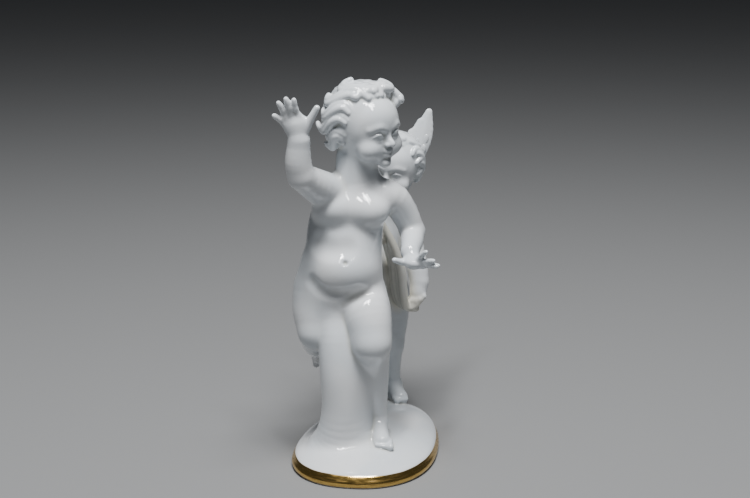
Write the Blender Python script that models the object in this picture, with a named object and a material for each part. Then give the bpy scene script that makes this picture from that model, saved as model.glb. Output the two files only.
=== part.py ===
# Porcelain group of two children at play, cast as one piece on an oval mound.
# Metres, +Z up. The origin is the middle of the flat underside.
# -Y is the front end of the oval, where the taller child strides out with a raised arm.
# Each form is a closed shell; the shells are fused, softened and faceted by modifiers.
import math

import bmesh
import bpy
from mathutils import Matrix, Vector

# Driving sizes
GROUP_HEIGHT = 0.152        # underside to the tallest lock of hair
BASE_LENGTH = 0.0938        # along the mound's long axis
BASE_WIDTH = 0.0558         # across the mound at its middle
BASE_PLACE = (0.0009, -0.0010)   # middle of the mound
BASE_TURN = 10.6            # degrees from Y towards X
BASE_FULLNESS = 2.25        # 2 would be a plain ellipse
BASE_EGG = 0.15             # share by which the front end is wider, and the back end narrower
RIM_HEIGHT = 0.0035         # upright rim that carries the gold band
RIM_BULGE = 0.0007          # how far the rim swells between its edges
RIM_TUCK = 0.6              # share of the swell that is drawn back in at the rim's edges
CROWN_INSET = 0.985         # the crown starts this share in from the rim
SUNK_RINGS = ((0.97, -0.004), (0.985, -0.001), (0.988, 0.0))    # share of the outline and height, up to the cut
MOUND_RISE = 0.0087         # crown of the mound above its rim
MOUND_ROUND = 1.8           # a larger value keeps the crown level further out
MOUND_FALL = 0.62           # below 1 the flank steepens towards the rim
FRONT_STAND = (0.0024, -0.0010)   # where the front child stands on the mound
REAR_STAND = (0.0018, -0.0010)    # where the rear child stands on the mound
FUSE_SIZE = 0.00055         # grain at which the shells are fused
SOFTEN_STEPS = 7            # passes that round the creases as glaze does
FACETS = 9600               # triangles kept on the finished body

# The two children are drawn in 152nds of the group's height, which is one
# millimetre at the height above, so they keep their proportions.
UNIT = GROUP_HEIGHT / 152.0
SIDES = 14                  # corners round a limb
TRUNK_SIDES = 24            # corners round a torso
BASE_SIDES = 72             # corners round the mound
RIM_RINGS = 6               # steps up the rim
CROWN_RINGS = 13            # steps from the rim to the crown
SPAN_STEPS = 4              # rings from one joint of a limb to the next
THINNEST = 0.25             # smallest limb radius, in pose units
STAGGER = 2.5               # degrees by which neighbouring locks are set apart
FINGER_SHARE = 0.40         # finger radius as a share of the wrist's
CAP_SHARES = (0.45, 0.8, 0.97)    # where the rings of a round end lie on its radius

# Hair: rise and span are degrees over the skull, the rest are shares of its radius.
FRONT_HAIR = {
    "wave": 5,
    "crown": {"count": 7, "from": 75, "to": 285, "drift": 14, "root": 88, "tip": 60,
              "thick": 0.28, "lift": 0.06, "curl": 0.16},
    "sweeps": [
        {"rise": (58, 48), "span": (118, 172), "thick": 0.30, "lift": 0.10, "curl": 0.42},
        {"rise": (34, 20), "span": (122, 176), "thick": 0.30, "lift": 0.10, "curl": 0.44},
        {"rise": (8, -8), "span": (124, 176), "thick": 0.28, "lift": 0.08, "curl": 0.46},
        {"rise": (-16, -34), "span": (128, 174), "thick": 0.25, "lift": 0.04, "curl": 0.44},
        {"rise": (52, 36), "span": (70, 142), "thick": 0.29, "lift": 0.12, "curl": 0.60},
        {"rise": (33, 19), "span": (76, 137), "thick": 0.28, "lift": 0.12, "curl": 0.44},
        {"rise": (12, 0), "span": (80, 132), "thick": 0.27, "lift": 0.10, "curl": 0.74},
        {"rise": (-8, -25), "span": (86, 127), "thick": 0.25, "lift": 0.07, "curl": 0.52},
    ],
    "brow": {"count": 6, "from": -52, "to": 50, "drift": 16, "root": 61, "tip": 86,
             "thick": 0.24, "lift": 0.07, "curl": 0.06},
    "tufts": [
        {"start": (-34, 58), "end": (-162, 70), "thick": 0.31, "lift": 0.10, "curl": 0.66},
        {"start": (16, 58), "end": (74, 66), "thick": 0.30, "lift": 0.14, "curl": 0.62},
        {"start": (82, 62), "end": (54, 34), "thick": 0.29, "lift": 0.16, "curl": 0.46},
    ],
}
REAR_HAIR = {
    "wave": 5,
    "crown": {"count": 7, "from": 75, "to": 285, "drift": 14, "root": 88, "tip": 58,
              "thick": 0.25, "lift": 0.02, "curl": 0.04},
    "sweeps": [
        {"rise": (58, 48), "span": (114, 170), "thick": 0.26, "lift": 0.05, "curl": 0.16},
        {"rise": (34, 20), "span": (118, 174), "thick": 0.27, "lift": 0.06, "curl": 0.18},
        {"rise": (8, -8), "span": (122, 174), "thick": 0.26, "lift": 0.06, "curl": 0.20},
        {"rise": (-16, -34), "span": (126, 172), "thick": 0.23, "lift": 0.03, "curl": 0.22},
        {"rise": (54, 46), "span": (62, 118), "thick": 0.25, "lift": 0.05, "curl": 0.10},
        {"rise": (32, 20), "span": (68, 122), "thick": 0.26, "lift": 0.07, "curl": 0.12},
        {"rise": (8, -6), "span": (76, 124), "thick": 0.25, "lift": 0.07, "curl": 0.14},
        {"rise": (-12, -28), "span": (84, 128), "thick": 0.22, "lift": 0.05, "curl": 0.18},
    ],
    "brow": {"count": 7, "from": -70, "to": 70, "drift": 16, "root": 58, "tip": 88,
             "thick": 0.23, "lift": 0.03, "curl": 0.02},
    "tufts": [],
}


def clear_scene():
    for item in list(bpy.data.objects):
        bpy.data.objects.remove(item, do_unlink=True)


def smooth_row(rows, steps):
    """Rows of numbers read along a smooth curve that passes through each row."""
    if len(rows) < 2:
        return [list(row) for row in rows]
    first = [2 * a - b for a, b in zip(rows[0], rows[1])]
    last = [2 * a - b for a, b in zip(rows[-1], rows[-2])]
    padded = [first] + [list(row) for row in rows] + [last]
    out = []
    for i in range(len(rows) - 1):
        p0, p1, p2, p3 = padded[i:i + 4]
        for step in range(steps):
            t = step / steps
            out.append([
                0.5 * (2 * b + (c - a) * t + (2 * a - 5 * b + 4 * c - d) * t * t
                       + (3 * b - a - 3 * c + d) * t ** 3)
                for a, b, c, d in zip(p0, p1, p2, p3)
            ])
    out.append(list(rows[-1]))
    return out


def skin(bm, rings):
    """Closed shell through rings of points, each end closed by a fan."""
    rows = [[bm.verts.new(point) for point in ring] for ring in rings]
    count = len(rows[0])
    for low, high in zip(rows, rows[1:]):
        for i in range(count):
            j = (i + 1) % count
            bm.faces.new((low[i], low[j], high[j], high[i]))
    for row, flip in ((rows[0], True), (rows[-1], False)):
        middle = sum((vert.co for vert in row), Vector()) / count
        hub = bm.verts.new(middle)
        for i in range(count):
            j = (i + 1) % count
            corners = (row[j], row[i], hub) if flip else (row[i], row[j], hub)
            bm.faces.new(corners)


def limb(bm, joints, flat=1.0, across=None, steps=SPAN_STEPS, sides=SIDES):
    """Round-ended limb through joints (x, y, z, radius) in pose units.

    flat squeezes the section at right angles to the direction across.
    """
    rows = smooth_row(joints, steps)
    spots = [Vector(row[:3]) * UNIT for row in rows]
    radii = [max(row[3], THINNEST) * UNIT for row in rows]
    ways = []
    for i in range(len(spots)):
        ahead = spots[min(i + 1, len(spots) - 1)]
        behind = spots[max(i - 1, 0)]
        ways.append((ahead - behind).normalized())
    side = Vector(across) if across else ways[0].orthogonal()
    rings = []
    frames = []
    for way in ways:
        side = (side - way * side.dot(way)).normalized()
        frames.append((side.copy(), way.cross(side) * flat))

    def ring(spot, radius, frame):
        wide, deep = frame
        turn = [2 * math.pi * k / sides for k in range(sides)]
        return [spot + (wide * math.cos(a) + deep * math.sin(a)) * radius for a in turn]

    for share in reversed(CAP_SHARES):
        spot = spots[0] - ways[0] * radii[0] * share * min(1.0, flat + 0.2)
        rings.append(ring(spot, radii[0] * math.sqrt(1 - share * share), frames[0]))
    for spot, radius, frame in zip(spots, radii, frames):
        rings.append(ring(spot, radius, frame))
    for share in CAP_SHARES:
        spot = spots[-1] + ways[-1] * radii[-1] * share * min(1.0, flat + 0.2)
        rings.append(ring(spot, radii[-1] * math.sqrt(1 - share * share), frames[-1]))
    skin(bm, rings)


def egg(bm, middle, radii, turn=None):
    """Ellipsoid in pose units; turn is a rotation matrix."""
    spread = Matrix.Diagonal((radii[0], radii[1], radii[2], 1.0))
    place = Matrix.Translation(Vector(middle) * UNIT)
    spin = turn.to_4x4() if turn else Matrix.Identity(4)
    matrix = place @ spin @ Matrix.Scale(UNIT, 4) @ spread
    bmesh.ops.create_icosphere(bm, subdivisions=3, radius=1.0, matrix=matrix)


def trunk(bm, sections, steps=SPAN_STEPS):
    """Torso through level sections (x, y, z, half width, half depth)."""
    rings = []
    for x, y, z, wide, deep in smooth_row(sections, steps):
        ring = []
        for k in range(TRUNK_SIDES):
            angle = 2 * math.pi * k / TRUNK_SIDES
            point = (x + wide * math.cos(angle), y + deep * math.sin(angle), z)
            ring.append(Vector(point) * UNIT)
        rings.append(ring)
    skin(bm, rings)


class Head:
    """Skull with a facing direction, used to place the features and the hair."""

    def __init__(self, middle, radius, heading, nod, lean):
        self.middle = Vector(middle)
        self.radius = radius
        turn = Matrix.Rotation(math.radians(heading), 3, "Z")
        tilt = Matrix.Rotation(math.radians(lean), 3, "Y")
        dip = Matrix.Rotation(math.radians(nod), 3, "X")
        self.turn = turn @ tilt @ dip

    def at(self, side, ahead, up):
        """Point from shares of the skull's radius: left side, ahead and up."""
        local = Vector((side, -ahead, up)) * self.radius
        return self.middle + self.turn @ local

    def on(self, azimuth, rise, lift):
        """Point over the skull; azimuth 0 is the face, 90 the child's left."""
        a = math.radians(azimuth)
        e = math.radians(rise)
        share = 1.0 + lift
        return self.at(0.94 * share * math.sin(a) * math.cos(e),
                       1.02 * share * math.cos(a) * math.cos(e),
                       share * math.sin(e))


def face(bm, head):
    """Calm, plain child's face in common proportions."""
    r = head.radius
    egg(bm, head.middle, (0.94 * r, 1.0 * r, 0.98 * r), head.turn)
    egg(bm, head.at(0, 0.28, -0.52), (0.70 * r, 0.66 * r, 0.66 * r), head.turn)
    for side in (-1, 1):
        egg(bm, head.at(side * 0.40, 0.60, -0.46), (0.34 * r, 0.30 * r, 0.34 * r), head.turn)
        egg(bm, head.at(side * 0.93, 0.02, -0.24), (0.09 * r, 0.16 * r, 0.23 * r), head.turn)
    egg(bm, head.at(0, 0.72, -0.98), (0.24 * r, 0.20 * r, 0.20 * r), head.turn)
    limb(bm, [(*head.at(0, 0.92, -0.12), 0.09 * r), (*head.at(0, 1.06, -0.36), 0.12 * r)])
    egg(bm, head.at(0, 0.98, -0.64), (0.17 * r, 0.09 * r, 0.09 * r), head.turn)
    for side in (-1, 1):
        egg(bm, head.at(side * 0.34, 0.84, 0.10), (0.26 * r, 0.14 * r, 0.10 * r), head.turn)


def lock(bm, head, start, end, thick, lift, wave, curl):
    """One lock of hair swept over the skull from start to end."""
    joints = []
    steps = 7
    for i in range(steps):
        t = i / (steps - 1)
        azimuth = start[0] + (end[0] - start[0]) * t
        rise = start[1] + (end[1] - start[1]) * t
        sway = wave * math.sin(2 * math.pi * t)
        over = 0.02 + lift * math.sin(math.pi * min(1.0, t * 0.9)) + curl * max(0.0, t - 0.62)
        spot = head.on(azimuth, rise + sway, over)
        swell = math.sin(math.pi * (0.18 + 0.74 * t)) ** 0.7
        joints.append((*spot, head.radius * thick * swell))
    limb(bm, joints, steps=2, sides=10)


def hair(bm, head, style):
    """Crown, locks swept back over both sides, brow locks and single tufts."""
    crown = style["crown"]
    for i in range(crown["count"]):
        azimuth = crown["from"] + (crown["to"] - crown["from"]) * i / (crown["count"] - 1)
        lock(bm, head, (azimuth, crown["root"]), (azimuth + crown["drift"], crown["tip"]),
             crown["thick"], crown["lift"], style["wave"], crown["curl"])
    for side in (-1, 1):
        for i, row in enumerate(style["sweeps"]):
            root, tip = row["rise"]
            start, end = row["span"]
            beat = STAGGER if (i + side) % 2 else -STAGGER
            lock(bm, head, (side * start, root + beat), (side * (end + beat), tip),
                 row["thick"], row["lift"], style["wave"], row["curl"])
    brow = style["brow"]
    for i in range(brow["count"]):
        azimuth = brow["from"] + (brow["to"] - brow["from"]) * i / (brow["count"] - 1)
        drift = brow["drift"] if azimuth >= 0 else -brow["drift"]
        lock(bm, head, (azimuth, brow["root"]), (azimuth + drift, brow["tip"]),
             brow["thick"], brow["lift"], style["wave"], brow["curl"])
    for tuft in style["tufts"]:
        lock(bm, head, tuft["start"], tuft["end"], tuft["thick"], tuft["lift"], style["wave"], tuft["curl"])


def hand(bm, wrist, palm, fingers, thumb, girth):
    """Wrist, flattened palm, fingers as (knuckle, tip) pairs, and a thumb.

    palm is its middle, its half sizes and its turn about Y in degrees.
    """
    middle, radii, turn = palm
    limb(bm, [(*wrist, girth), (*middle, girth * 0.72)])
    egg(bm, middle, radii, Matrix.Rotation(math.radians(turn), 3, "Y"))
    size = girth * FINGER_SHARE
    for knuckle, tip in fingers:
        bend = [(a + b) / 2 for a, b in zip(knuckle, tip)]
        limb(bm, [(*middle, size * 1.3), (*knuckle, size * 1.12)])
        limb(bm, [(*knuckle, size * 1.08), (*bend, size * 1.02), (*tip, size * 0.84)])
    limb(bm, [(*thumb[0], size * 1.5), (*thumb[1], size * 1.2), (*thumb[2], size * 0.98)])


def foot(bm, ankle, heel, ball, toes, girth, spread):
    """Plump foot: heel, instep, ball and five toes fanned across the front."""
    limb(bm, [(*ankle, girth * 0.95), (*heel, girth * 0.95)])
    limb(bm, [(*heel, girth * 0.9), (*ball, girth * 0.85)])
    limb(bm, [(*ankle, girth * 0.85), (*ball, girth * 0.75)])
    for i, share in enumerate((-1.0, -0.45, 0.05, 0.5, 0.9)):
        side = [s * share for s in spread]
        root = [b + s for b, s in zip(ball, side)]
        reach = 1.0 - 0.10 * i
        tip = [b + (t - b) * reach + s for b, t, s in zip(ball, toes, side)]
        size = girth * (0.42 if i == 0 else 0.31 - 0.015 * i)
        limb(bm, [(*root, size), (*tip, size * 0.9)])


def mound_height(reach):
    """Height of the mound at a share of the way from its middle to its edge."""
    return RIM_HEIGHT + MOUND_RISE * (1 - reach ** MOUND_ROUND) ** MOUND_FALL


def base(bm):
    """Domed mound: swollen rim below, crown above, run on below the cut."""
    profile = list(SUNK_RINGS)
    for k in range(1, RIM_RINGS):
        t = k / RIM_RINGS
        swell = RIM_BULGE * 2 / BASE_WIDTH * (math.sin(math.pi * t) - RIM_TUCK)
        profile.append((1.0 + swell, RIM_HEIGHT * t))
    for k in range(1, CROWN_RINGS):
        share = 1 - k / CROWN_RINGS
        profile.append((CROWN_INSET * share, mound_height(share)))
    swing = math.radians(-BASE_TURN)
    rings = []
    for share, z in profile:
        ring = []
        for k in range(BASE_SIDES):
            angle = 2 * math.pi * k / BASE_SIDES
            c = math.cos(angle)
            s = math.sin(angle)
            stretch = (abs(c) ** BASE_FULLNESS + abs(s) ** BASE_FULLNESS) ** (-1 / BASE_FULLNESS)
            along = s * stretch * share
            x = c * stretch * share * (1 - BASE_EGG * along) * BASE_WIDTH / 2
            y = along * BASE_LENGTH / 2
            ring.append(Vector((BASE_PLACE[0] + x * math.cos(swing) - y * math.sin(swing),
                                BASE_PLACE[1] + x * math.sin(swing) + y * math.cos(swing), z)))
        rings.append(ring)
    skin(bm, rings)


def front_child(bm):
    """Taller child, striding towards the front end, right arm raised."""
    trunk(bm, [
        (-12.5, -9.0, 52.0, 9.0, 8.0),
        (-13.0, -9.0, 58.5, 14.4, 11.0),
        (-12.8, -9.5, 66.0, 16.6, 12.4),
        (-12.3, -11.0, 76.0, 15.8, 13.4),
        (-11.7, -10.8, 86.0, 14.9, 12.4),
        (-10.7, -9.8, 96.0, 14.7, 11.2),
        (-8.2, -9.5, 104.0, 14.2, 10.2),
        (-5.8, -9.0, 110.5, 8.5, 7.5),
        (-5.8, -8.5, 113.0, 5.5, 5.5),
    ])
    egg(bm, (-20.2, -8.4, 76.0), (8.4, 8.6, 11.0))
    egg(bm, (-11.4, -14.4, 79.0), (12.0, 11.6, 9.6))
    limb(bm, [(-6.9, -8.3, 108.0, 8.6), (-6.4, -7.8, 121.0, 8.2)])
    for middle in ((-15.0, -14.6, 101.4), (-2.4, -14.6, 100.6)):
        egg(bm, middle, (7.4, 5.0, 5.2))
    for middle in ((-16.5, -9.5, 108.0), (2.5, -8.8, 108.0)):
        limb(bm, [(-5.6, -8.2, 114.5, 4.6), (*middle, 5.0)])
    raised_arm(bm)
    low_arm(bm)
    knee_right = (-22.4, -14.0, 53.2, 7.2)
    limb(bm, [(-19.9, -8.0, 68.0, 12.0), (-21.4, -10.0, 60.5, 10.5), knee_right])
    limb(bm, [knee_right, (-22.4, -5.5, 47.0, 6.4), (-22.4, 8.0, 40.6, 5.0), (-22.4, 14.0, 37.5, 3.8)])
    foot(bm, (-22.4, 14.4, 37.2), (-22.8, 19.2, 38.4), (-22.0, 21.6, 31.8), (-21.6, 22.6, 28.4),
         3.7, (2.5, 0, 0))
    knee_left = (-1.0, -20.4, 50.6, 7.5)
    limb(bm, [(-5.4, -8.0, 67.5, 10.0), (-3.8, -13.6, 61.0, 10.2), (-2.0, -17.6, 56.0, 8.9), knee_left])
    egg(bm, (-0.8, -24.0, 50.0), (4.8, 3.8, 4.4))
    limb(bm, [knee_left, (-0.3, -17.4, 42.0, 6.5), (0.3, -14.8, 32.0, 5.5), (1.7, -13.6, 22.0, 3.7),
              (2.0, -13.6, 17.0, 3.2)])
    foot(bm, (2.1, -13.8, 15.6), (2.0, -11.0, 12.0), (3.4, -23.6, 11.0), (3.8, -28.2, 10.3),
         3.6, (-2.7, -0.3, 0))
    prop(bm)
    head = Head((-3.4, -8.2, 134.2), 13.4, 46, 4, -4)
    face(bm, head)
    hair(bm, head, FRONT_HAIR)


def raised_arm(bm):
    """Front child's right arm, bent upwards, with an open palm."""
    elbow = (-27.2, -27.5, 117.2, 5.1)
    limb(bm, [(-9.0, -8.5, 103.0, 7.5), (-16.0, -10.5, 107.2, 7.5), (-21.4, -19.0, 111.8, 6.6), elbow])
    limb(bm, [elbow, (-28.2, -29.0, 123.0, 5.0), (-27.8, -30.0, 131.0, 4.1)])
    hand(bm, (-27.8, -30.0, 131.5), ((-28.8, -30.9, 137.2), (4.9, 2.7, 4.4), -12),
         [((-33.2, -31.2, 138.0), (-36.9, -33.2, 140.9)), ((-32.6, -31.7, 140.2), (-34.2, -34.0, 145.9)),
          ((-30.5, -31.8, 141.0), (-31.9, -34.4, 147.3)), ((-28.0, -31.6, 140.8), (-29.9, -34.2, 147.0))],
         [(-25.4, -30.6, 135.4), (-23.6, -31.2, 138.8), (-20.9, -32.0, 143.6)], 3.8)


def low_arm(bm):
    """Front child's left arm, held down and forward, palm up."""
    elbow = (15.2, -4.0, 91.0, 4.8)
    limb(bm, [(-2.0, -8.5, 103.5, 7.5), (6.6, -8.6, 106.0, 6.0), (12.0, -5.6, 98.5, 5.4), elbow])
    limb(bm, [elbow, (14.9, -11.0, 88.4, 4.4), (14.0, -17.6, 86.2, 3.5)])
    hand(bm, (14.0, -18.0, 85.8), ((15.4, -22.6, 82.9), (4.2, 4.2, 2.4), 6),
         [((17.3, -25.4, 84.8), (19.8, -29.4, 88.6)), ((18.8, -25.8, 83.9), (22.6, -30.6, 85.4)),
          ((19.2, -25.6, 82.9), (23.8, -30.4, 83.2)), ((19.0, -24.6, 82.0), (24.6, -27.6, 82.8))],
         [(12.6, -21.2, 83.0), (10.4, -23.0, 83.2), (7.9, -25.0, 84.4)], 3.3)


def wing(bm, root, elbow, tip, inward):
    """Leaf-shaped wing: a rounded shoulder and feathers stepped along one edge."""
    root = Vector(root)
    elbow = Vector(elbow)
    tip = Vector(tip)
    limb(bm, [(*root, 3.2), (*((root + elbow) / 2), 3.4), (*elbow, 3.0)])
    axis = tip - elbow
    side = Vector((inward, 0.0, 0.0))
    for i in range(4):
        share = i / 3
        start = elbow + side * (1.5 * i) - axis * 0.05 * i
        end = tip + side * (2.6 * i) - axis * (0.22 * i)
        middle = (start + end) / 2
        limb(bm, [(*start, 3.0), (*middle, 4.4 - 0.9 * share), (*end, 1.3)], flat=0.42, across=side)


def swag(bm, path, width, folds, sag):
    """Band of cloth gathered into rounded folds that run along its path."""
    for k in range(folds):
        share = k / (folds - 1) - 0.5
        joints = []
        for i, (x, y, z, r) in enumerate(path):
            open_share = math.sin(math.pi * (i + 0.6) / (len(path) + 0.2))
            joints.append((x + share * width * 0.35 * open_share,
                           y - share * width * 0.5 * open_share,
                           z - abs(share) * sag * open_share, r))
        limb(bm, joints, steps=3, sides=10)


def rear_child(bm):
    """Smaller winged child behind, facing the first and holding a cloth."""
    trunk(bm, [
        (-1.5, 40.0, 46.0, 8.0, 8.0),
        (-1.5, 40.0, 52.0, 13.0, 10.5),
        (-1.2, 39.5, 59.0, 14.6, 11.5),
        (-1.0, 37.5, 68.0, 12.6, 12.4),
        (0.0, 38.0, 77.0, 11.6, 11.2),
        (2.0, 39.5, 86.0, 11.8, 9.6),
        (4.0, 40.0, 93.0, 10.6, 8.4),
        (5.4, 40.0, 98.0, 7.0, 6.5),
        (6.2, 40.0, 100.5, 4.6, 4.6),
    ])
    limb(bm, [(6.0, 40.0, 96.0, 6.2), (8.4, 39.0, 106.0, 5.8)])
    hanging_arm(bm)
    cloth_arm(bm)
    knee_left = (6.6, 38.0, 33.0, 6.8)
    limb(bm, [(5.2, 39.5, 55.0, 10.6), (6.0, 39.0, 45.0, 9.4), knee_left])
    limb(bm, [knee_left, (7.0, 39.6, 25.0, 5.4), (8.4, 40.0, 17.0, 3.6), (9.0, 40.0, 15.0, 3.4)])
    foot(bm, (9.2, 39.6, 14.2), (9.8, 40.4, 10.2), (12.0, 33.4, 10.2), (12.8, 29.8, 10.2),
         3.5, (2.3, 0.5, 0))
    knee_right = (-6.8, 27.5, 37.0, 6.8)
    limb(bm, [(-7.6, 39.0, 56.0, 10.4), (-7.6, 33.0, 46.0, 9.0), knee_right])
    limb(bm, [knee_right, (-7.8, 30.0, 28.0, 5.8), (-8.0, 33.0, 19.0, 4.0), (-8.0, 33.0, 17.0, 3.7)])
    foot(bm, (-8.0, 33.0, 14.8), (-7.8, 35.0, 11.0), (-9.2, 26.0, 10.6), (-9.8, 22.4, 10.2),
         3.6, (2.3, -0.3, 0))
    head = Head((8.6, 37.6, 110.8), 11.4, -14, 6, 6)
    face(bm, head)
    hair(bm, head, REAR_HAIR)
    wing(bm, (9.0, 46.5, 94.0), (18.6, 51.5, 110.0), (24.0, 53.0, 130.6), -1)
    wing(bm, (-1.0, 46.5, 94.0), (-8.0, 51.5, 108.0), (-12.6, 53.0, 129.0), 1)
    swag(bm, [(3.6, 18.6, 89.5, 1.9), (6.6, 20.0, 82.5, 2.4), (9.8, 22.5, 72.0, 2.6),
              (10.8, 25.0, 61.5, 2.5), (12.6, 26.5, 54.0, 2.3), (17.6, 27.0, 52.0, 2.0)], 7.0, 5, 3.0)
    limb(bm, [(13.4, 26.5, 53.0, 2.2), (10.0, 33.0, 57.0, 3.2), (6.0, 37.0, 60.0, 4.0)])


def hanging_arm(bm):
    """Rear child's left arm, hanging down to the cloth's lower end."""
    elbow = (16.7, 35.0, 75.5, 4.6)
    limb(bm, [(6.5, 39.5, 92.0, 6.6), (12.8, 38.5, 92.0, 5.4), (15.6, 37.5, 84.0, 5.0), elbow])
    limb(bm, [elbow, (18.8, 31.5, 68.0, 4.5), (19.6, 29.5, 62.0, 3.9)])
    hand(bm, (19.6, 29.5, 62.0), ((19.0, 28.0, 57.8), (3.4, 3.6, 3.8), 0),
         [((21.2, 25.6, 56.8), (18.6, 24.4, 53.4)), ((19.6, 24.8, 55.8), (17.0, 24.2, 52.4)),
          ((18.0, 24.8, 55.2), (15.6, 24.6, 51.8)), ((16.4, 25.4, 55.0), (14.2, 25.4, 51.8))],
         [(18.6, 30.2, 57.4), (16.6, 31.0, 55.0), (14.8, 30.0, 53.0)], 3.6)


def cloth_arm(bm):
    """Rear child's right arm, bent forward to the cloth's upper end."""
    elbow = (-13.0, 27.0, 79.5, 4.3)
    limb(bm, [(0.5, 39.5, 91.0, 6.6), (-7.5, 38.0, 91.5, 5.4), (-12.4, 33.0, 84.0, 4.8), elbow])
    limb(bm, [elbow, (-8.6, 22.0, 80.5, 4.0), (-4.0, 19.5, 82.5, 3.4)])
    hand(bm, (-3.6, 19.4, 82.8), ((0.2, 18.8, 84.2), (3.4, 2.8, 3.4), 0),
         [((2.6, 17.0, 86.6), (4.8, 19.6, 86.8)), ((3.2, 16.8, 85.0), (5.4, 19.6, 84.8)),
          ((3.2, 16.8, 83.4), (5.4, 19.6, 83.0)), ((2.6, 17.0, 81.8), (4.6, 19.6, 81.2))],
         [(-0.6, 20.6, 85.6), (1.8, 22.0, 86.4), (4.0, 21.8, 85.4)], 3.4)


def prop(bm):
    """Tree-stump prop under the front child, melting into leg and mound."""
    limb(bm, [(-16.0, -15.5, 3.0, 11.4), (-13.8, -17.6, 12.0, 9.0), (-12.9, -18.6, 24.0, 7.4),
              (-13.6, -19.4, 40.0, 7.3), (-14.4, -19.6, 51.0, 7.0), (-14.0, -18.6, 58.0, 6.4)])
    limb(bm, [(-7.6, -15.0, 5.0, 8.0), (-6.4, -15.6, 20.0, 5.4), (-6.4, -16.6, 38.0, 5.6),
              (-6.4, -15.5, 54.0, 6.6)])


def porcelain():
    material = bpy.data.materials.new("white_glazed_porcelain")
    material.use_nodes = True
    shader = material.node_tree.nodes["Principled BSDF"]
    shader.inputs["Base Color"].default_value = (0.80, 0.83, 0.84, 1.0)
    shader.inputs["Roughness"].default_value = 0.08
    shader.inputs["Metallic"].default_value = 0.0
    return material


def foot_cutter():
    """Block that trims the cast flat at the level it stands on."""
    depth = 0.02
    bm = bmesh.new()
    size = Matrix.Diagonal((BASE_LENGTH * 2, BASE_LENGTH * 2, depth, 1.0))
    bmesh.ops.create_cube(bm, size=1.0, matrix=Matrix.Translation((0, 0, -depth / 2)) @ size)
    mesh = bpy.data.meshes.new("underside_cutter")
    bm.to_mesh(mesh)
    bm.free()
    cutter = bpy.data.objects.new("underside_cutter", mesh)
    cutter.hide_render = True
    cutter.display_type = "WIRE"
    bpy.context.scene.collection.objects.link(cutter)
    return cutter


def putti_group():
    bm = bmesh.new()
    for build, stand in ((front_child, FRONT_STAND), (rear_child, REAR_STAND)):
        child = bmesh.new()
        build(child)
        bmesh.ops.translate(child, vec=(*stand, 0), verts=child.verts)
        mesh = bpy.data.meshes.new(build.__name__)
        child.to_mesh(mesh)
        child.free()
        bm.from_mesh(mesh)
    base(bm)
    bmesh.ops.recalc_face_normals(bm, faces=bm.faces)
    mesh = bpy.data.meshes.new("putti_group")
    bm.to_mesh(mesh)
    bm.free()
    mesh.materials.append(porcelain())
    group = bpy.data.objects.new("putti_group", mesh)
    bpy.context.scene.collection.objects.link(group)
    fuse = group.modifiers.new("fuse", "REMESH")
    fuse.mode = "VOXEL"
    fuse.voxel_size = FUSE_SIZE
    soften = group.modifiers.new("soften", "SMOOTH")
    soften.factor = 0.5
    soften.iterations = SOFTEN_STEPS
    return group


def facet(group, cutter):
    """Fewer, larger facets, then the flat underside."""
    depsgraph = bpy.context.evaluated_depsgraph_get()
    fine = group.evaluated_get(depsgraph).to_mesh()
    triangles = sum(len(face.vertices) - 2 for face in fine.polygons)
    group.evaluated_get(depsgraph).to_mesh_clear()
    thin = group.modifiers.new("facet", "DECIMATE")
    thin.ratio = min(1.0, FACETS / triangles)
    trim = group.modifiers.new("trim", "BOOLEAN")
    trim.operation = "DIFFERENCE"
    trim.object = cutter
    trim.solver = "EXACT"


clear_scene()
figure_group = putti_group()
facet(figure_group, foot_cutter())
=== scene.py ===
import math

import bmesh
import bpy
import numpy as np
from mathutils import Matrix, Vector


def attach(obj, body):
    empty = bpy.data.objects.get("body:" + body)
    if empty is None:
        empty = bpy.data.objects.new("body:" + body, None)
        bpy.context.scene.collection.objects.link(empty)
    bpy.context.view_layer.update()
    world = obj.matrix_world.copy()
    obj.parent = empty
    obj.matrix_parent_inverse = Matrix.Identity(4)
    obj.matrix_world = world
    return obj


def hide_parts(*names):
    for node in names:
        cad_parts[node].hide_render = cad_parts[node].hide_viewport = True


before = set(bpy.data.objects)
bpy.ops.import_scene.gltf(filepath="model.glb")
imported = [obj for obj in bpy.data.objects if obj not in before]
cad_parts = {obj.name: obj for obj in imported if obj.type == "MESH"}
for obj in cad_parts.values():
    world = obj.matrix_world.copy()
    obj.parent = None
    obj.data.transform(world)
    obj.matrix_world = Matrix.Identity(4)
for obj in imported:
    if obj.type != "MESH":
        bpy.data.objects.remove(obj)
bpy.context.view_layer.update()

mm = 0.001


# Clay: forms are blended in a grid of distances, in millimetres, then skinned
clay = {
    "low": (-40.0, -54.0, -3.0),
    "high": (34.0, 57.0, 156.0),
    "step": 0.28,   # grid spacing
    "far": 60.0,   # distance where no form is near
    "thinnest": 0.12,   # smallest limb radius
    "trunkReach": (18.0, 16.0),   # how far round a torso its distances are worked out
    "bladePull": 0.62,   # evens out the distances round a squeezed limb
    "softenPasses": 2,
    "footLevel": 4.0,   # the level cut at height 0 is worked out below this
    "footSoft": 0.5,
    "normalReach": 0.9,   # grid steps over which the surface's slope is read
    "triangles": 194000,
    "heads": [((-1.0, -9.2, 135.2), 20.5), ((10.4, 36.6, 111.2), 16.0)],   # middle and reach of each head
    "headShare": 0.52,   # share of the triangles that the heads keep
}
stands = {"front": (2.4, -1.0, 0.0), "rear": (1.8, -1.0, 0.0)}   # where each child stands on the mound


def softMax(a, b, soft):
    h = np.clip(0.5 + 0.5 * (b - a) / soft, 0, 1)
    return a + (b - a) * h + soft * h * (1 - h)


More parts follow.
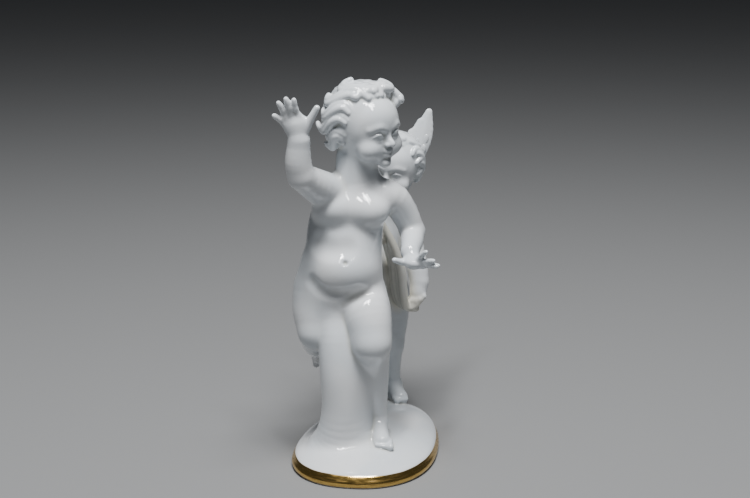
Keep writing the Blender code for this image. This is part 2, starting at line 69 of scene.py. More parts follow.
class Clay:
    def __init__(self, low, high, step):
        self.step = step
        self.low = np.array(low, float)
        size = [int(math.ceil((h - l) / step)) + 1 for l, h in zip(low, high)]
        self.field = np.full(size, clay["far"], np.float32)
        self.axes = [(l + step * np.arange(n)).astype(np.float32) for l, n in zip(low, size)]
        self.stand = np.zeros(3)   # where the figure in hand stands

    def window(self, low, high, margin):
        slots = []
        for i in range(3):
            a = (low[i] + self.stand[i] - margin - self.low[i]) / self.step
            b = (high[i] + self.stand[i] + margin - self.low[i]) / self.step
            last = self.field.shape[i]
            slots.append(slice(max(0, int(a)), min(last, int(b) + 2)))
        x, y, z = (self.axes[i][slots[i]] - np.float32(self.stand[i]) for i in range(3))
        return tuple(slots), x[:, None, None], y[None, :, None], z[None, None, :]

    def blend(self, slots, dist, soft, carve=False):
        # carve takes the form away instead of adding it
        old = self.field[slots]
        self.field[slots] = softMax(old, -dist, soft) if carve else -softMax(-old, -dist, soft)


def smoothRows(rows, steps):
    rows = [np.array(r, float) for r in rows]
    padded = [2 * rows[0] - rows[1]] + rows + [2 * rows[-1] - rows[-2]]
    out = []
    for i in range(len(rows) - 1):
        p0, p1, p2, p3 = padded[i:i + 4]
        for s in range(steps):
            t = s / steps
            out.append(0.5 * (2 * p1 + (p2 - p0) * t + (2 * p0 - 5 * p1 + 4 * p2 - p3) * t * t
                              + (3 * p1 - p0 - 3 * p2 + p3) * t ** 3))
    out.append(rows[-1])
    return out


def coneDistance(x, y, z, a, b):
    ba = b[:3] - a[:3]
    length = float(ba @ ba) or 1e-9
    px, py, pz = x - a[0], y - a[1], z - a[2]
    t = np.clip((px * ba[0] + py * ba[1] + pz * ba[2]) / length, 0, 1)
    reach = np.sqrt((px - t * ba[0]) ** 2 + (py - t * ba[1]) ** 2 + (pz - t * ba[2]) ** 2)
    return reach - (a[3] + t * (b[3] - a[3]))


def limb(work, joints, soft=1.0, carve=False, steps=4):
    # round limb through joints (x, y, z, radius)
    table = np.array(smoothRows(joints, steps))
    table[:, 3] = np.maximum(table[:, 3], clay["thinnest"])
    edge = soft + 2 * work.step
    slots, x, y, z = work.window(table[:, :3].min(0), table[:, :3].max(0), edge + table[:, 3].max())
    dist = np.full((x.size, y.size, z.size), clay["far"], np.float32)
    lines = [x.ravel(), y.ravel(), z.ravel()]
    for a, b in zip(table[:-1], table[1:]):
        r = max(a[3], b[3]) + edge
        sx, sy, sz = (slice(*np.searchsorted(line, (min(a[i], b[i]) - r, max(a[i], b[i]) + r)))
                      for i, line in enumerate(lines))
        near = coneDistance(x[sx], y[:, sy], z[:, :, sz], a, b)
        dist[sx, sy, sz] = np.minimum(dist[sx, sy, sz], near)
    work.blend(slots, dist, soft, carve)


def ball(work, middle, radii, soft=1.0, turn=None, carve=False):
    middle, radii = np.array(middle, float), np.array(radii, float)
    slots, x, y, z = work.window(middle, middle, radii.max() + soft + 2 * work.step)
    px, py, pz = x - middle[0], y - middle[1], z - middle[2]
    if turn is not None:
        back = np.array(turn.transposed())
        px, py, pz = [back[i][0] * px + back[i][1] * py + back[i][2] * pz for i in range(3)]
    k0 = np.sqrt((px / radii[0]) ** 2 + (py / radii[1]) ** 2 + (pz / radii[2]) ** 2)
    k1 = np.sqrt((px / radii[0] ** 2) ** 2 + (py / radii[1] ** 2) ** 2 + (pz / radii[2] ** 2) ** 2)
    work.blend(slots, k0 * (k0 - 1) / np.maximum(k1, 1e-6), soft, carve)


def blade(work, joints, facing, flat, soft):
    # leaf: a limb squeezed along the direction it faces
    facing = Vector(facing).normalized()
    table = np.array(smoothRows(joints, 4))
    slots, x, y, z = work.window(table[:, :3].min(0), table[:, :3].max(0), table[:, 3].max() + soft + 1)
    dist = np.full((x.size, y.size, z.size), clay["far"], np.float32)
    for a, b in zip(table[:-1], table[1:]):
        off = (x - a[0]) * facing.x + (y - a[1]) * facing.y + (z - a[2]) * facing.z
        push = off * (1 / flat - 1)
        rise = float(np.dot(b[:3] - a[:3], facing))
        end = np.array([*(b[:3] + np.array(facing) * rise * (1 / flat - 1)), b[3]])
        near = coneDistance(x + push * facing.x, y + push * facing.y, z + push * facing.z, a, end)
        dist = np.minimum(dist, near * clay["bladePull"])
    work.blend(slots, dist, soft)


def trunk(work, sections, soft):
    # torso through level sections (x, y, z, half width, half depth)
    table = np.array(smoothRows(sections, 6))
    heights = table[:, 2]
    reach = np.array((*clay["trunkReach"], 0.0))
    slots, x, y, z = work.window(table[:, :3].min(0) - reach, table[:, :3].max(0) + reach, soft + 2)
    cx, cy, wide, deep = (np.interp(z.ravel(), heights, table[:, i]).astype(np.float32)[None, None, :]
                          for i in (0, 1, 3, 4))
    share = np.sqrt(((x - cx) / wide) ** 2 + ((y - cy) / deep) ** 2)
    side = (share - 1) * np.minimum(wide, deep)
    cap = np.abs(z - (heights[0] + heights[-1]) / 2) - (heights[-1] - heights[0]) / 2
    work.blend(slots, np.maximum(side, cap), soft)


class Head:
    def __init__(self, middle, radius, heading, nod, lean):
        self.middle = Vector(middle)
        self.radius = radius
        self.turn = (Matrix.Rotation(math.radians(heading), 3, "Z")
                     @ Matrix.Rotation(math.radians(lean), 3, "Y")
                     @ Matrix.Rotation(math.radians(nod), 3, "X"))

    def at(self, side, ahead, up):
        # place from shares of the skull's radius
        return self.middle + self.turn @ (Vector((side, -ahead, up)) * self.radius)

    def on(self, azimuth, rise, lift):
        # place over the skull from degrees
        a, e, share = math.radians(azimuth), math.radians(rise), 1 + lift
        return self.at(0.94 * share * math.sin(a) * math.cos(e),
                       1.02 * share * math.cos(a) * math.cos(e), share * math.sin(e))


# Faces: one calm child's face in common proportions, in shares of the skull's radius
face = {
    "eyes": -0.19,   # heights from the skull's middle
    "ears": -0.2,
    "nose": -0.45,
    "mouth": -0.67,
    "eyeGap": 0.345,
    # place, half sizes and softness of the skull, forehead, jaw, mouth and chin
    "skull": [((0, 0, 0), (0.94, 1.0, 0.98), 0.15), ((0, 0.36, 0.24), (0.72, 0.62, 0.6), 0.12),
              ((0, 0.28, -0.52), (0.68, 0.64, 0.64), 0.14), ((0, 0.66, -0.7), (0.34, 0.27, 0.26), 0.16),
              ((0, 0.8, -0.99), (0.2, 0.16, 0.15), 0.12)],
    # strokes: the height they hang from, softness, cut in or not, joints (side, ahead, up, radius)
    "upperLid": ("eyes", 0.02, False, [(0.17, 0.88, -0.03, 0.03), (0.26, 0.925, 0.055, 0.042),
        (0.36, 0.92, 0.085, 0.045), (0.47, 0.85, 0.045, 0.04), (0.55, 0.77, -0.03, 0.028)]),
    "lowerLid": ("eyes", 0.03, False, [(0.19, 0.87, -0.05, 0.026), (0.28, 0.895, -0.11, 0.032),
        (0.38, 0.88, -0.125, 0.032), (0.47, 0.82, -0.09, 0.028), (0.54, 0.77, -0.04, 0.022)]),
    "lidSlit": ("eyes", 0.02, True, [(0.2, 0.93, -0.035, 0.022), (0.29, 0.965, 0.005, 0.03),
        (0.4, 0.935, 0.01, 0.03), (0.52, 0.84, -0.035, 0.022)]),
    "lidFold": ("eyes", 0.05, True, [(0.2, 0.955, 0.075, 0.024), (0.32, 0.975, 0.165, 0.03),
        (0.46, 0.915, 0.145, 0.028), (0.58, 0.81, 0.055, 0.022)]),
    "brow": ("eyes", 0.12, False, [(0.13, 0.91, 0.22, 0.05), (0.34, 0.9, 0.3, 0.06),
        (0.58, 0.74, 0.22, 0.05)]),
    "noseBridge": ("eyes", 0.08, False, [(0, 0.87, 0.1, 0.08), (0, 0.95, -0.06, 0.08),
        (0, 1.055, -0.17, 0.092), (0, 1.08, -0.215, 0.098)]),
    "noseWing": ("nose", 0.05, True, [(0.185, 0.985, 0.05, 0.016), (0.195, 0.955, -0.01, 0.02),
        (0.155, 0.955, -0.06, 0.016)]),
    "lipGroove": ("nose", 0.05, True, [(0, 0.99, -0.08, 0.034), (0, 0.99, -0.14, 0.034)]),
    "upperLip": ("mouth", 0.03, False, [(0, 0.962, 0.042, 0.054), (0.075, 0.95, 0.052, 0.058),
        (0.17, 0.87, 0.005, 0.03)]),
    "lowerLip": ("mouth", 0.04, False, [(0, 0.94, -0.08, 0.072), (0.125, 0.885, -0.05, 0.04)]),
    "mouthLine": ("mouth", 0.025, True, [(0, 1.0, -0.02, 0.026), (0.08, 0.99, -0.014, 0.024),
        (0.185, 0.9, -0.008, 0.022)]),
    "chinGroove": ("mouth", 0.07, True, [(0, 0.955, -0.2, 0.05), (0.12, 0.91, -0.185, 0.036)]),
    "earRim": ("ears", 0.03, False, [(0.9, 0.12, 0.04, 0.045), (0.97, 0.1, 0.18, 0.05),
        (1.01, -0.04, 0.23, 0.05), (1.02, -0.16, 0.14, 0.05), (1.0, -0.16, -0.04, 0.045),
        (0.96, -0.06, -0.16, 0.06), (0.92, 0.03, -0.22, 0.07)]),
}


def mouldFace(work, head):
    r, eyes, nose, ears = head.radius, face["eyes"], face["nose"], face["ears"]

    def lump(point, radii, soft, carve=False):
        ball(work, head.at(*point), [v * r for v in radii], soft * r, head.turn, carve)

    def stroke(name, side=1, across=False):
        # on one side of the face, or across its middle with the mirrored half first
        height, soft, carve, joints = face[name]
        line = [(side * s, a, u + face[height], thick) for s, a, u, thick in joints]
        if across:
            line = [(-s, a, u, thick) for s, a, u, thick in reversed(line[1:])] + line
        limb(work, [(*head.at(s, a, u), thick * r) for s, a, u, thick in line], soft * r, carve)

    for point, radii, soft in face["skull"]:
        lump(point, radii, soft)
    for side in (-1, 1):
        gap = side * face["eyeGap"]
        lump((side * 0.44, 0.62, -0.56), (0.34, 0.31, 0.31), 0.18)             # cheek
        lump((gap, 1.04, eyes + 0.01), (0.26, 0.2, 0.16), 0.14, True)         # socket
        lump((gap, 0.775, eyes), (0.175, 0.14, 0.13), 0.02)                  # eyeball
        for name in ("upperLid", "lowerLid", "lidSlit", "lidFold", "brow"):
            stroke(name, side)
        lump((side * 0.105, 0.99, nose + 0.02), (0.07, 0.085, 0.064), 0.04)
    stroke("noseBridge")
    for side in (-1, 1):
        lump((side * 0.058, 1.085, nose - 0.04), (0.036, 0.05, 0.034), 0.02, True)   # nostril
        stroke("noseWing", side)
    stroke("lipGroove")
    for name in ("upperLip", "lowerLip", "mouthLine", "chinGroove"):
        stroke(name, across=True)
    for side in (-1, 1):
        lump((side * 0.93, -0.02, ears), (0.07, 0.15, 0.22), 0.06)
        stroke("earRim", side)
        lump((side * 1.03, 0.0, ears), (0.06, 0.07, 0.1), 0.04, True)


# Hair: directions are degrees over the skull, and a lock's thickness, lift and curl are shares of its radius
frontHair = {
    # fans: how many locks, span from and to, drift, rise at root and tip, form
    "crown": (5, 85, 275, 16, 86, 56, (0.3, 0.05, 0.16)),
    "sweeps": [   # rise at root and tip, span from and to, form
        ((58, 48), (118, 172), (0.3, 0.1, 0.42)),
        ((34, 20), (122, 176), (0.3, 0.1, 0.44)),
        ((8, -8), (124, 176), (0.28, 0.08, 0.46)),
        ((-16, -34), (128, 174), (0.25, 0.04, 0.44)),
        ((52, 36), (70, 142), (0.29, 0.12, 0.6)),
        ((33, 19), (76, 137), (0.28, 0.12, 0.44)),
        ((12, 0), (80, 132), (0.27, 0.1, 0.74)),
        ((-8, -25), (86, 127), (0.25, 0.07, 0.52)),
    ],
    "brow": (5, -56, 50, 16, 60, 84, (0.26, 0.06, 0.04)),
    "tufts": [   # start, end, form
        ((-34, 58), (-162, 70), (0.31, 0.1, 0.6)),
        ((16, 58), (74, 66), (0.3, 0.14, 0.57)),
        ((82, 62), (54, 34), (0.29, 0.16, 0.46)),
    ],
}
rearHair = {
    "crown": (6, 75, 285, 14, 86, 58, (0.26, 0.02, 0.04)),
    "sweeps": [
        ((58, 48), (114, 170), (0.26, 0.05, 0.16)),
        ((34, 20), (118, 174), (0.27, 0.06, 0.18)),
        ((8, -8), (122, 174), (0.26, 0.06, 0.2)),
        ((-16, -34), (126, 172), (0.23, 0.03, 0.22)),
        ((54, 46), (62, 118), (0.25, 0.05, 0.1)),
        ((32, 20), (68, 122), (0.26, 0.07, 0.12)),
        ((8, -6), (76, 124), (0.25, 0.07, 0.14)),
        ((-12, -28), (84, 128), (0.22, 0.05, 0.18)),
    ],
    "brow": (6, -70, 70, 16, 56, 84, (0.25, 0.03, 0.02)),
    "tufts": [],
}
hairLock = {
    "joints": 10,
    "strands": 2,
    "wave": 8.0,   # degrees that a lock swings on its way
    "root": 0.03,   # height of the root over the skull, as a share of its radius
    "rise": 0.06,   # added to each lock's lift
    "curlFrom": 0.62,   # where along the lock its tip turns up
    "width": 0.84,   # share of the lock's thickness
    "bedDepth": 0.84,   # the clay under the strands lies this share of the way out
    "bedWidth": 0.82,   # this and the next two are shares of the lock's width
    "gap": 0.72,
    "strand": 0.53,
    "closing": 0.5,   # share by which the strands draw together at the tip
    "twist": 0.9,   # radians from root to tip
    "stagger": 2.5,   # degrees by which neighbouring locks are set apart
    "cap": ((0, -0.2, 0.13), (1.03, 1.05, 1.05)),   # clay under all locks: place and half sizes
    "reach": 1.9,   # half side of the hair's own grid, in radii
}


def lock(work, head, start, end, form):
    # strands side by side, swept from start to end and turned up at the tip
    thick, lift, curl = form
    steps, strands = hairLock["joints"], hairLock["strands"]
    track = []
    for i in range(steps):
        t = i / (steps - 1)
        azimuth = start[0] + (end[0] - start[0]) * t
        rise = start[1] + (end[1] - start[1]) * t + hairLock["wave"] * math.sin(2 * math.pi * t)
        over = hairLock["root"] + (lift + hairLock["rise"]) * math.sin(math.pi * min(1.0, t * 0.9))
        over += curl * max(0.0, t - hairLock["curlFrom"])
        track.append((head.on(azimuth, rise, over), math.sin(math.pi * (0.2 + 0.64 * t)) ** 0.7))
    width = head.radius * thick * hairLock["width"]
    depth = hairLock["bedDepth"]
    limb(work, [(*(spot * depth + head.middle * (1 - depth)), width * hairLock["bedWidth"] * swell)
                for spot, swell in track[1:-2]], 0.3, steps=2)
    for k in range(strands):
        share = k - (strands - 1) / 2
        joints = []
        for i, (spot, swell) in enumerate(track):
            t = i / (steps - 1)
            way = (track[min(i + 1, steps - 1)][0] - track[max(i - 1, 0)][0]).normalized()
            out = (spot - head.middle).normalized()
            across = way.cross(out).normalized()
            twist = hairLock["twist"] * (t - 0.5)
            across = (across * math.cos(twist) + out * math.sin(twist)).normalized()
            close = 1 - hairLock["closing"] * t ** 2
            place = spot + across * share * width * hairLock["gap"] * swell * close
            joints.append((*place, width * swell * hairLock["strand"]))
        limb(work, joints, 0.08, steps=2)


def dressHair(work, head, style):
    # hair is blended apart, so that its locks stay crisp, and then set on the head
    r = head.radius
    reach = r * hairLock["reach"]
    corner = np.round((np.array(head.middle) + work.stand - reach - work.low) / work.step)
    corner = work.low + corner * work.step
    hair = Clay(corner, corner + 2 * reach, work.step)
    hair.stand = work.stand
    place, sizes = hairLock["cap"]
    ball(hair, head.at(*place), [v * r for v in sizes], 0.1, head.turn)

    def fan(count, first, last, drift, root, tip, form, parted=False):
        # locks side by side; parted ones drift away from the middle
        for i in range(count):
            azimuth = first + (last - first) * i / (count - 1)
            way = -drift if parted and azimuth < 0 else drift
            lock(hair, head, (azimuth, root), (azimuth + way, tip), form)

    fan(*style["crown"])
    for side in (-1, 1):
        for i, ((root, tip), (start, end), form) in enumerate(style["sweeps"]):
            beat = hairLock["stagger"] if (i + side) % 2 else -hairLock["stagger"]
            lock(hair, head, (side * start, root + beat), (side * (end + beat), tip), form)
    fan(*style["brow"], parted=True)
    for start, end, form in style["tufts"]:
        lock(hair, head, start, end, form)
    shift = np.round((hair.low - work.low) / work.step).astype(int)
    slots = []
    inner = []
    for i, a in enumerate(shift):
        low, high = max(0, a), min(work.field.shape[i], a + hair.field.shape[i])
        slots.append(slice(low, high))
        inner.append(slice(low - a, high - a))
    work.blend(tuple(slots), hair.field[tuple(inner)], 0.3)


# Hands and feet: radii are shares of the wrist's or ankle's girth
handForm = {
    "palm": 0.72,
    "finger": 0.335,
    "widths": (1.0, 1.0, 1.04, 0.94),   # each finger's own share of that
    "bow": 0.05,   # how far a finger bends, as a share of its length
    # share along the finger, its width there, and how much of the bow it has
    "profile": [(0.0, 1.1, 0.0), (0.26, 0.96, 0.6), (0.46, 1.04, 1.0), (0.66, 0.9, 0.9),
                (0.8, 0.94, 0.5), (1.0, 0.78, 0.0)],
    "thumb": (1.5, 1.2, 0.95),
}
footForm = {
    "toes": (-1.0, -0.45, 0.05, 0.5, 0.9),   # from the big toe across the spread
    "bigToe": 0.42,
    "toe": (0.31, 0.015),   # the others, and how much each is thinner than the last
    "shorter": 0.1,
}


def hand(work, wrist, palm, fingers, thumb, girth):
    # palm is (middle, half sizes, turn about Y in degrees); fingers are (knuckle, tip) pairs
    middle, radii, turn = palm
    limb(work, [(*wrist, girth), (*middle, girth * handForm["palm"])], 1.4)
    ball(work, middle, radii, 1.6, Matrix.Rotation(math.radians(turn), 3, "Y"))
    size = girth * handForm["finger"]
    for share, (knuckle, tip) in zip(handForm["widths"], fingers):
        knuckle, tip = np.array(knuckle, float), np.array(tip, float)
        limb(work, [(*middle, size * 1.3), (*knuckle, size * 1.12)], 0.9)
        reach = tip - knuckle
        bow = np.cross(reach, np.cross(reach, knuckle - np.array(middle)))
        bow *= handForm["bow"] * np.linalg.norm(reach) / max(np.linalg.norm(bow), 1e-6)
        limb(work, [(*(knuckle + reach * t + bow * lift), size * share * wide)
                    for t, wide, lift in handForm["profile"]], 0.35, steps=3)
    limb(work, [(*spot, size * wide) for spot, wide in zip(thumb, handForm["thumb"])], 0.8)


def foot(work, ankle, heel, tread, toes, girth, spread):
    limb(work, [(*ankle, girth * 0.95), (*heel, girth * 0.95)], 1.6)
    limb(work, [(*heel, girth * 0.9), (*tread, girth * 0.85)], 1.6)
    limb(work, [(*ankle, girth * 0.85), (*tread, girth * 0.75)], 1.6)
    tread, toes = np.array(tread), np.array(toes)
    widest, thinner = footForm["toe"]
    for i, share in enumerate(footForm["toes"]):
        root = tread + np.array(spread) * share
        tip = root + (toes - tread) * (1.0 - footForm["shorter"] * i)
        size = girth * (footForm["bigToe"] if i == 0 else widest - thinner * i)
        limb(work, [(*root, size), (*(root * 0.35 + tip * 0.65), size * 0.82), (*tip, size * 0.95)], 0.35)


# The mound, with the CAD's own values
mound = {
    "length": 93.8,
    "width": 55.8,
    "place": (0.9, -1.0),
    "turn": 10.6,   # degrees from Y towards X
    "fullness": 2.25,   # 2 would be a plain ellipse
    "egg": 0.15,   # share by which the front end is wider
    "rim": 3.5,
    "bulge": 0.6793,   # how far the rim swells at its middle
    "tuck": 0.75,   # share of the swell drawn back in at the rim's edges
    "rise": 8.7,
    "round": 1.8,
    "fall": 0.62,
    "inset": 0.985,   # the crown starts this share in from the rim
    "edge": 1.6,   # softness between rim and crown
    "top": 14.0,   # no part of the mound is higher
}


def mouldMound(work):
    work.stand = np.zeros(3)
    slots, x, y, z = work.window(clay["low"], (*clay["high"][:2], mound["top"]), 0)
    swing = math.radians(-mound["turn"])
    length, width, n = mound["length"] / 2, mound["width"] / 2, mound["fullness"]
    x, y = x - mound["place"][0], y - mound["place"][1]
    along = (-x * math.sin(swing) + y * math.cos(swing)) / length
    across = (x * math.cos(swing) + y * math.sin(swing)) / width / (1 - mound["egg"] * along)
    reach = (np.abs(along) ** n + np.abs(across) ** n) ** (1 / n)
    swell = mound["bulge"] * (np.sin(np.pi * np.clip(z / mound["rim"], 0, 1)) - mound["tuck"])
    spread = np.clip(along ** 2 * (width / length) ** 2 + across ** 2, 1e-4, None)
    half = width / np.sqrt(spread) * np.clip(reach, 1e-3, None)
    side = (reach - 1) * np.clip(half, 22, 40) - swell
    crown = np.clip(1 - (reach * mound["inset"]) ** mound["round"], 0, None) ** mound["fall"]
    top = (z - (mound["rim"] - 0.5 + mound["rise"] * crown)) * 0.9
    work.blend(slots, softMax(side, top, mound["edge"]).astype(np.float32), 1.8)


def mouldProp(work):
    limb(work, [(-16.0, -15.5, 3.0, 11.4), (-13.8, -18.2, 12.0, 9.0), (-12.9, -20.2, 24.0, 7.5),
                (-13.6, -20.6, 38.0, 7.4), (-14.4, -19.0, 50.0, 7.1), (-14.2, -16.0, 58.5, 6.5)], 3.0)
    limb(work, [(-7.6, -15.8, 5.0, 8.4), (-6.4, -16.8, 20.0, 6.0), (-6.4, -17.6, 36.0, 6.2),
                (-6.4, -15.5, 54.0, 6.6)], 4.5)


def mouldFrontChild(work):
    work.stand = np.array(stands["front"])
    mouldProp(work)
    kneeRight = (-22.4, -14.0, 53.2, 7.2)
    limb(work, [(-19.9, -8.0, 68.0, 12.0), (-21.4, -10.0, 60.5, 10.5), kneeRight], 2.4)
    limb(work, [kneeRight, (-22.4, -5.5, 47.0, 6.4), (-22.4, 8.0, 40.6, 5.0), (-22.4, 14.0, 37.5, 3.8)], 1.4)
    foot(work, (-22.4, 14.4, 37.2), (-22.8, 19.2, 38.4), (-22.0, 21.6, 31.8), (-21.6, 22.6, 28.4),
         3.7, (2.5, 0, 0))
    kneeLeft = (-1.0, -22.6, 51.2, 7.5)
    limb(work, [(-5.4, -8.0, 67.5, 10.0), (-3.2, -16.2, 62.2, 9.9), (-1.8, -20.2, 57.0, 8.8), kneeLeft], 1.2)
    limb(work, [kneeLeft, (-0.3, -17.6, 42.0, 6.4), (0.3, -14.8, 32.0, 5.5), (1.7, -13.6, 22.0, 3.7),
                (2.0, -13.6, 17.0, 3.2)], 2.2)
    ball(work, (-0.6, -25.8, 51.0), (4.8, 4.0, 4.8), 2.6)
    foot(work, (2.1, -13.8, 15.6), (2.0, -11.0, 12.0), (3.4, -23.6, 11.0), (3.8, -28.2, 10.3),
         3.6, (-2.7, -0.3, 0))
    trunk(work, [(-12.5, -9.0, 52.0, 9.0, 8.0), (-13.0, -9.0, 58.5, 14.4, 11.0),
                 (-12.8, -9.5, 66.0, 16.6, 12.4), (-12.3, -11.0, 76.0, 15.8, 13.4),
                 (-11.7, -10.8, 86.0, 14.9, 12.4), (-10.7, -9.2, 96.0, 14.7, 10.6),
                 (-8.2, -9.5, 104.0, 14.2, 10.2), (-5.8, -9.0, 110.5, 8.5, 7.5),
                 (-5.8, -8.5, 113.0, 5.5, 5.5)], 2.0)
    ball(work, (-20.2, -8.4, 76.0), (8.4, 8.6, 11.0), 4.0)
    ball(work, (-11.4, -14.4, 79.0), (12.0, 11.6, 9.6), 3.0)
    for spot in ((-19.5, -2.4, 63.0), (-6.5, -2.4, 63.5)):
        ball(work, spot, (8.8, 7.6, 8.8), 1.6)
    limb(work, [(-6.9, -8.3, 108.0, 8.5), (-6.4, -7.8, 121.0, 8.1)], 2.0)
    for spot in ((-15.4, -14.6, 102.4), (-2.2, -14.4, 101.6)):
        ball(work, spot, (8.2, 7.2, 6.6), 2.8)
    for spot in ((-16.5, -9.5, 108.0), (2.5, -8.8, 108.0)):
        limb(work, [(-5.6, -8.2, 114.5, 4.6), (*spot, 5.0)], 2.6)
    elbow = (-27.2, -27.5, 117.2, 5.1)
    limb(work, [(-9.0, -8.5, 103.0, 7.5), (-16.0, -10.5, 107.2, 7.5), (-21.4, -19.0, 111.8, 6.6), elbow], 2.0)
    limb(work, [elbow, (-28.2, -29.0, 123.0, 5.0), (-27.8, -30.0, 131.0, 4.1)], 1.2)
    hand(work, (-27.8, -30.0, 131.5), ((-28.8, -30.9, 137.2), (4.9, 2.7, 4.4), -12),
         [((-33.2, -31.2, 138.0), (-36.6, -33.2, 140.9)), ((-32.6, -31.7, 140.2), (-34.9, -34.0, 145.7)),
          ((-30.4, -31.8, 141.0), (-32.1, -34.4, 147.2)), ((-27.9, -31.6, 140.8), (-29.2, -34.2, 146.9))],
         [(-25.4, -30.6, 135.4), (-23.6, -31.2, 138.8), (-20.9, -32.0, 143.6)], 3.8)
    limb(work, [(-2.0, -8.5, 103.5, 7.5), (6.6, -8.6, 106.0, 6.0), (12.0, -5.6, 98.5, 5.4),
                (15.2, -4.0, 91.0, 4.8)], 2.2)
    limb(work, [(15.2, -4.0, 91.0, 4.8), (14.9, -11.0, 88.4, 4.4), (14.0, -17.6, 86.2, 3.5)], 1.4)
    hand(work, (14.0, -18.0, 85.8), ((15.4, -22.6, 82.9), (4.2, 4.2, 2.4), 6),
         [((17.3, -25.4, 84.8), (19.8, -29.4, 88.6)), ((18.8, -25.8, 83.9), (22.6, -30.6, 85.4)),
          ((19.2, -25.6, 82.9), (23.8, -30.4, 83.2)), ((19.0, -24.6, 82.0), (24.6, -27.6, 82.8))],
         [(12.6, -21.2, 83.0), (10.4, -23.0, 83.2), (7.9, -25.0, 84.4)], 3.3)
    creaseFrontChild(work)
    head = Head((-3.4, -8.2, 134.2), 13.4, 46, 4, -4)
    mouldFace(work, head)
    dressHair(work, head, frontHair)


def groove(work, line, depth, radius, soft, back=False):
    # crease pressed into the front or back of the clay along (x, z) places; depth swells in the middle
    joints = []
    rows = smoothRows([(x, 0.0, z) for x, z in line], 3)
    for i, (x, _, z) in enumerate(rows):
        ix = int(round((x + work.stand[0] - work.low[0]) / work.step))
        iz = int(round((z - work.low[2]) / work.step))
        column = work.field[ix, :, iz]
        inside = np.flatnonzero(column < 0)
        near = inside[-1] if back else inside[0]
        beyond = near + 1 if back else near - 1
        share = column[near] / (column[near] - column[beyond])
        y = work.axes[1][near] + (beyond - near) * share * work.step - work.stand[1]
        press = depth * (0.35 + 0.65 * math.sin(math.pi * i / (len(rows) - 1)))
        joints.append((x, y + (radius - press) * (1 if back else -1), z, radius))
    limb(work, joints, soft, True, steps=2)


def creaseFrontChild(work):
    # under the belly, thigh, navel, waist, spine, seat, shoulder blades
    groove(work, [(-24.5, 74.6), (-21.0, 71.9), (-16.3, 70.3), (-10.7, 70.2), (-5.4, 71.4)], 1.3, 2.2, 2.6)
    groove(work, [(-12.0, 66.4), (-7.4, 69.2), (-2.0, 71.2)], 0.6, 1.4, 2.0)
    groove(work, [(-11.2, 83.5), (-10.8, 83.0), (-10.4, 83.4)], 1.5, 0.8, 0.8)
    groove(work, [(-22.8, 90.4), (-17.4, 89.0), (-10.0, 89.4)], 0.3, 3.6, 3.4)
    groove(work, [(-8.4, 107.0), (-9.4, 98.0), (-11.6, 84.0), (-12.8, 72.0)], 1.0, 2.8, 4.0, True)
    groove(work, [(-12.9, 72.0), (-13.0, 64.0), (-13.0, 57.0)], 2.0, 1.2, 1.6, True)
    for spot in ((-14.0, -1.6, 101.0), (-1.2, -1.2, 101.0)):
        ball(work, spot, (4.6, 2.8, 5.2), 2.6)


# Wings: root, elbow, tip, and the side on which the feathers lie
wings = [
    ((9.0, 46.5, 94.0), (18.6, 51.5, 110.0), (24.0, 53.0, 130.6), -1),
    ((-1.0, 46.5, 94.0), (-8.0, 51.5, 108.0), (-12.6, 53.0, 129.0), 1),
]


def wingAxes(elbow, tip, inward):
    axis = Vector(tip) - Vector(elbow)
    side = Vector((inward, 0.0, 0.0))
    return axis, side, axis.cross(side).normalized()


def mouldWing(work, root, elbow, tip, inward):
    axis, side, facing = wingAxes(elbow, tip, inward)
    root, elbow, tip = Vector(root), Vector(elbow), Vector(tip)
    half = (root + elbow) / 2
    limb(work, [(*root, 3.2), (*half, 3.4), (*elbow, 2.8)], 1.8)
    blade(work, [(*(root + axis * 0.08), 3.4), (*(half + side * 1.6 + axis * 0.1), 4.6),
                 (*(elbow + side * 2.6 + axis * 0.1), 4.8)], facing, 0.44, 1.4)
    for i in range(4):   # the wing's sheet
        start = elbow + side * (1.5 * i) - axis * 0.05 * i
        end = tip + side * (2.6 * i) - axis * (0.02 + 0.21 * i)
        blade(work, [(*start, 3.0), (*((start + end) / 2), 4.3 - 0.3 * i), (*end, 1.7)], facing, 0.3, 0.5)
    for i in range(5):   # long feathers on it
        start = elbow + side * (1.7 * i - 0.6) - axis * (0.08 * i) + facing * (0.15 - 0.3 * (i % 2))
        end = tip + side * (1.9 * i) - axis * (0.04 + 0.17 * i)
        blade(work, [(*start, 2.0), (*((start + end) / 2), 2.3), (*end, 1.3)], facing, 0.66, 0.15)


# Cloth held by the rear child
swag = {
    "path": [(3.6, 18.6, 89.5, 1.9), (6.6, 20.0, 82.5, 2.4), (9.8, 22.5, 72.0, 2.6),
             (10.8, 25.0, 61.5, 2.5), (12.6, 26.5, 54.0, 2.3), (17.6, 27.0, 52.0, 2.0)],
    "folds": 4,
    "spread": (4.056, -6.552, 3.0),   # how far apart the outer folds lie in x and y, and their sag
    "thick": (0.6, 0.72),   # neighbouring folds, as shares of the path's radius
    "cream": (8.0, 3.0),   # how far the cream tint reaches from the path, and over what it fades
}


def mouldSwag(work):
    # a band gathered into rounded folds along its path
    path, (dx, dy, sag) = swag["path"], swag["spread"]
    for k in range(swag["folds"]):
        share = k / (swag["folds"] - 1) - 0.5
        joints = []
        for i, (x, y, z, r) in enumerate(path):
            swell = math.sin(math.pi * (i + 0.6) / (len(path) + 0.2))
            joints.append((x + share * dx * swell, y + share * dy * swell, z - abs(share) * sag * swell,
                           r * swag["thick"][k % 2]))
        limb(work, joints, 0.25)


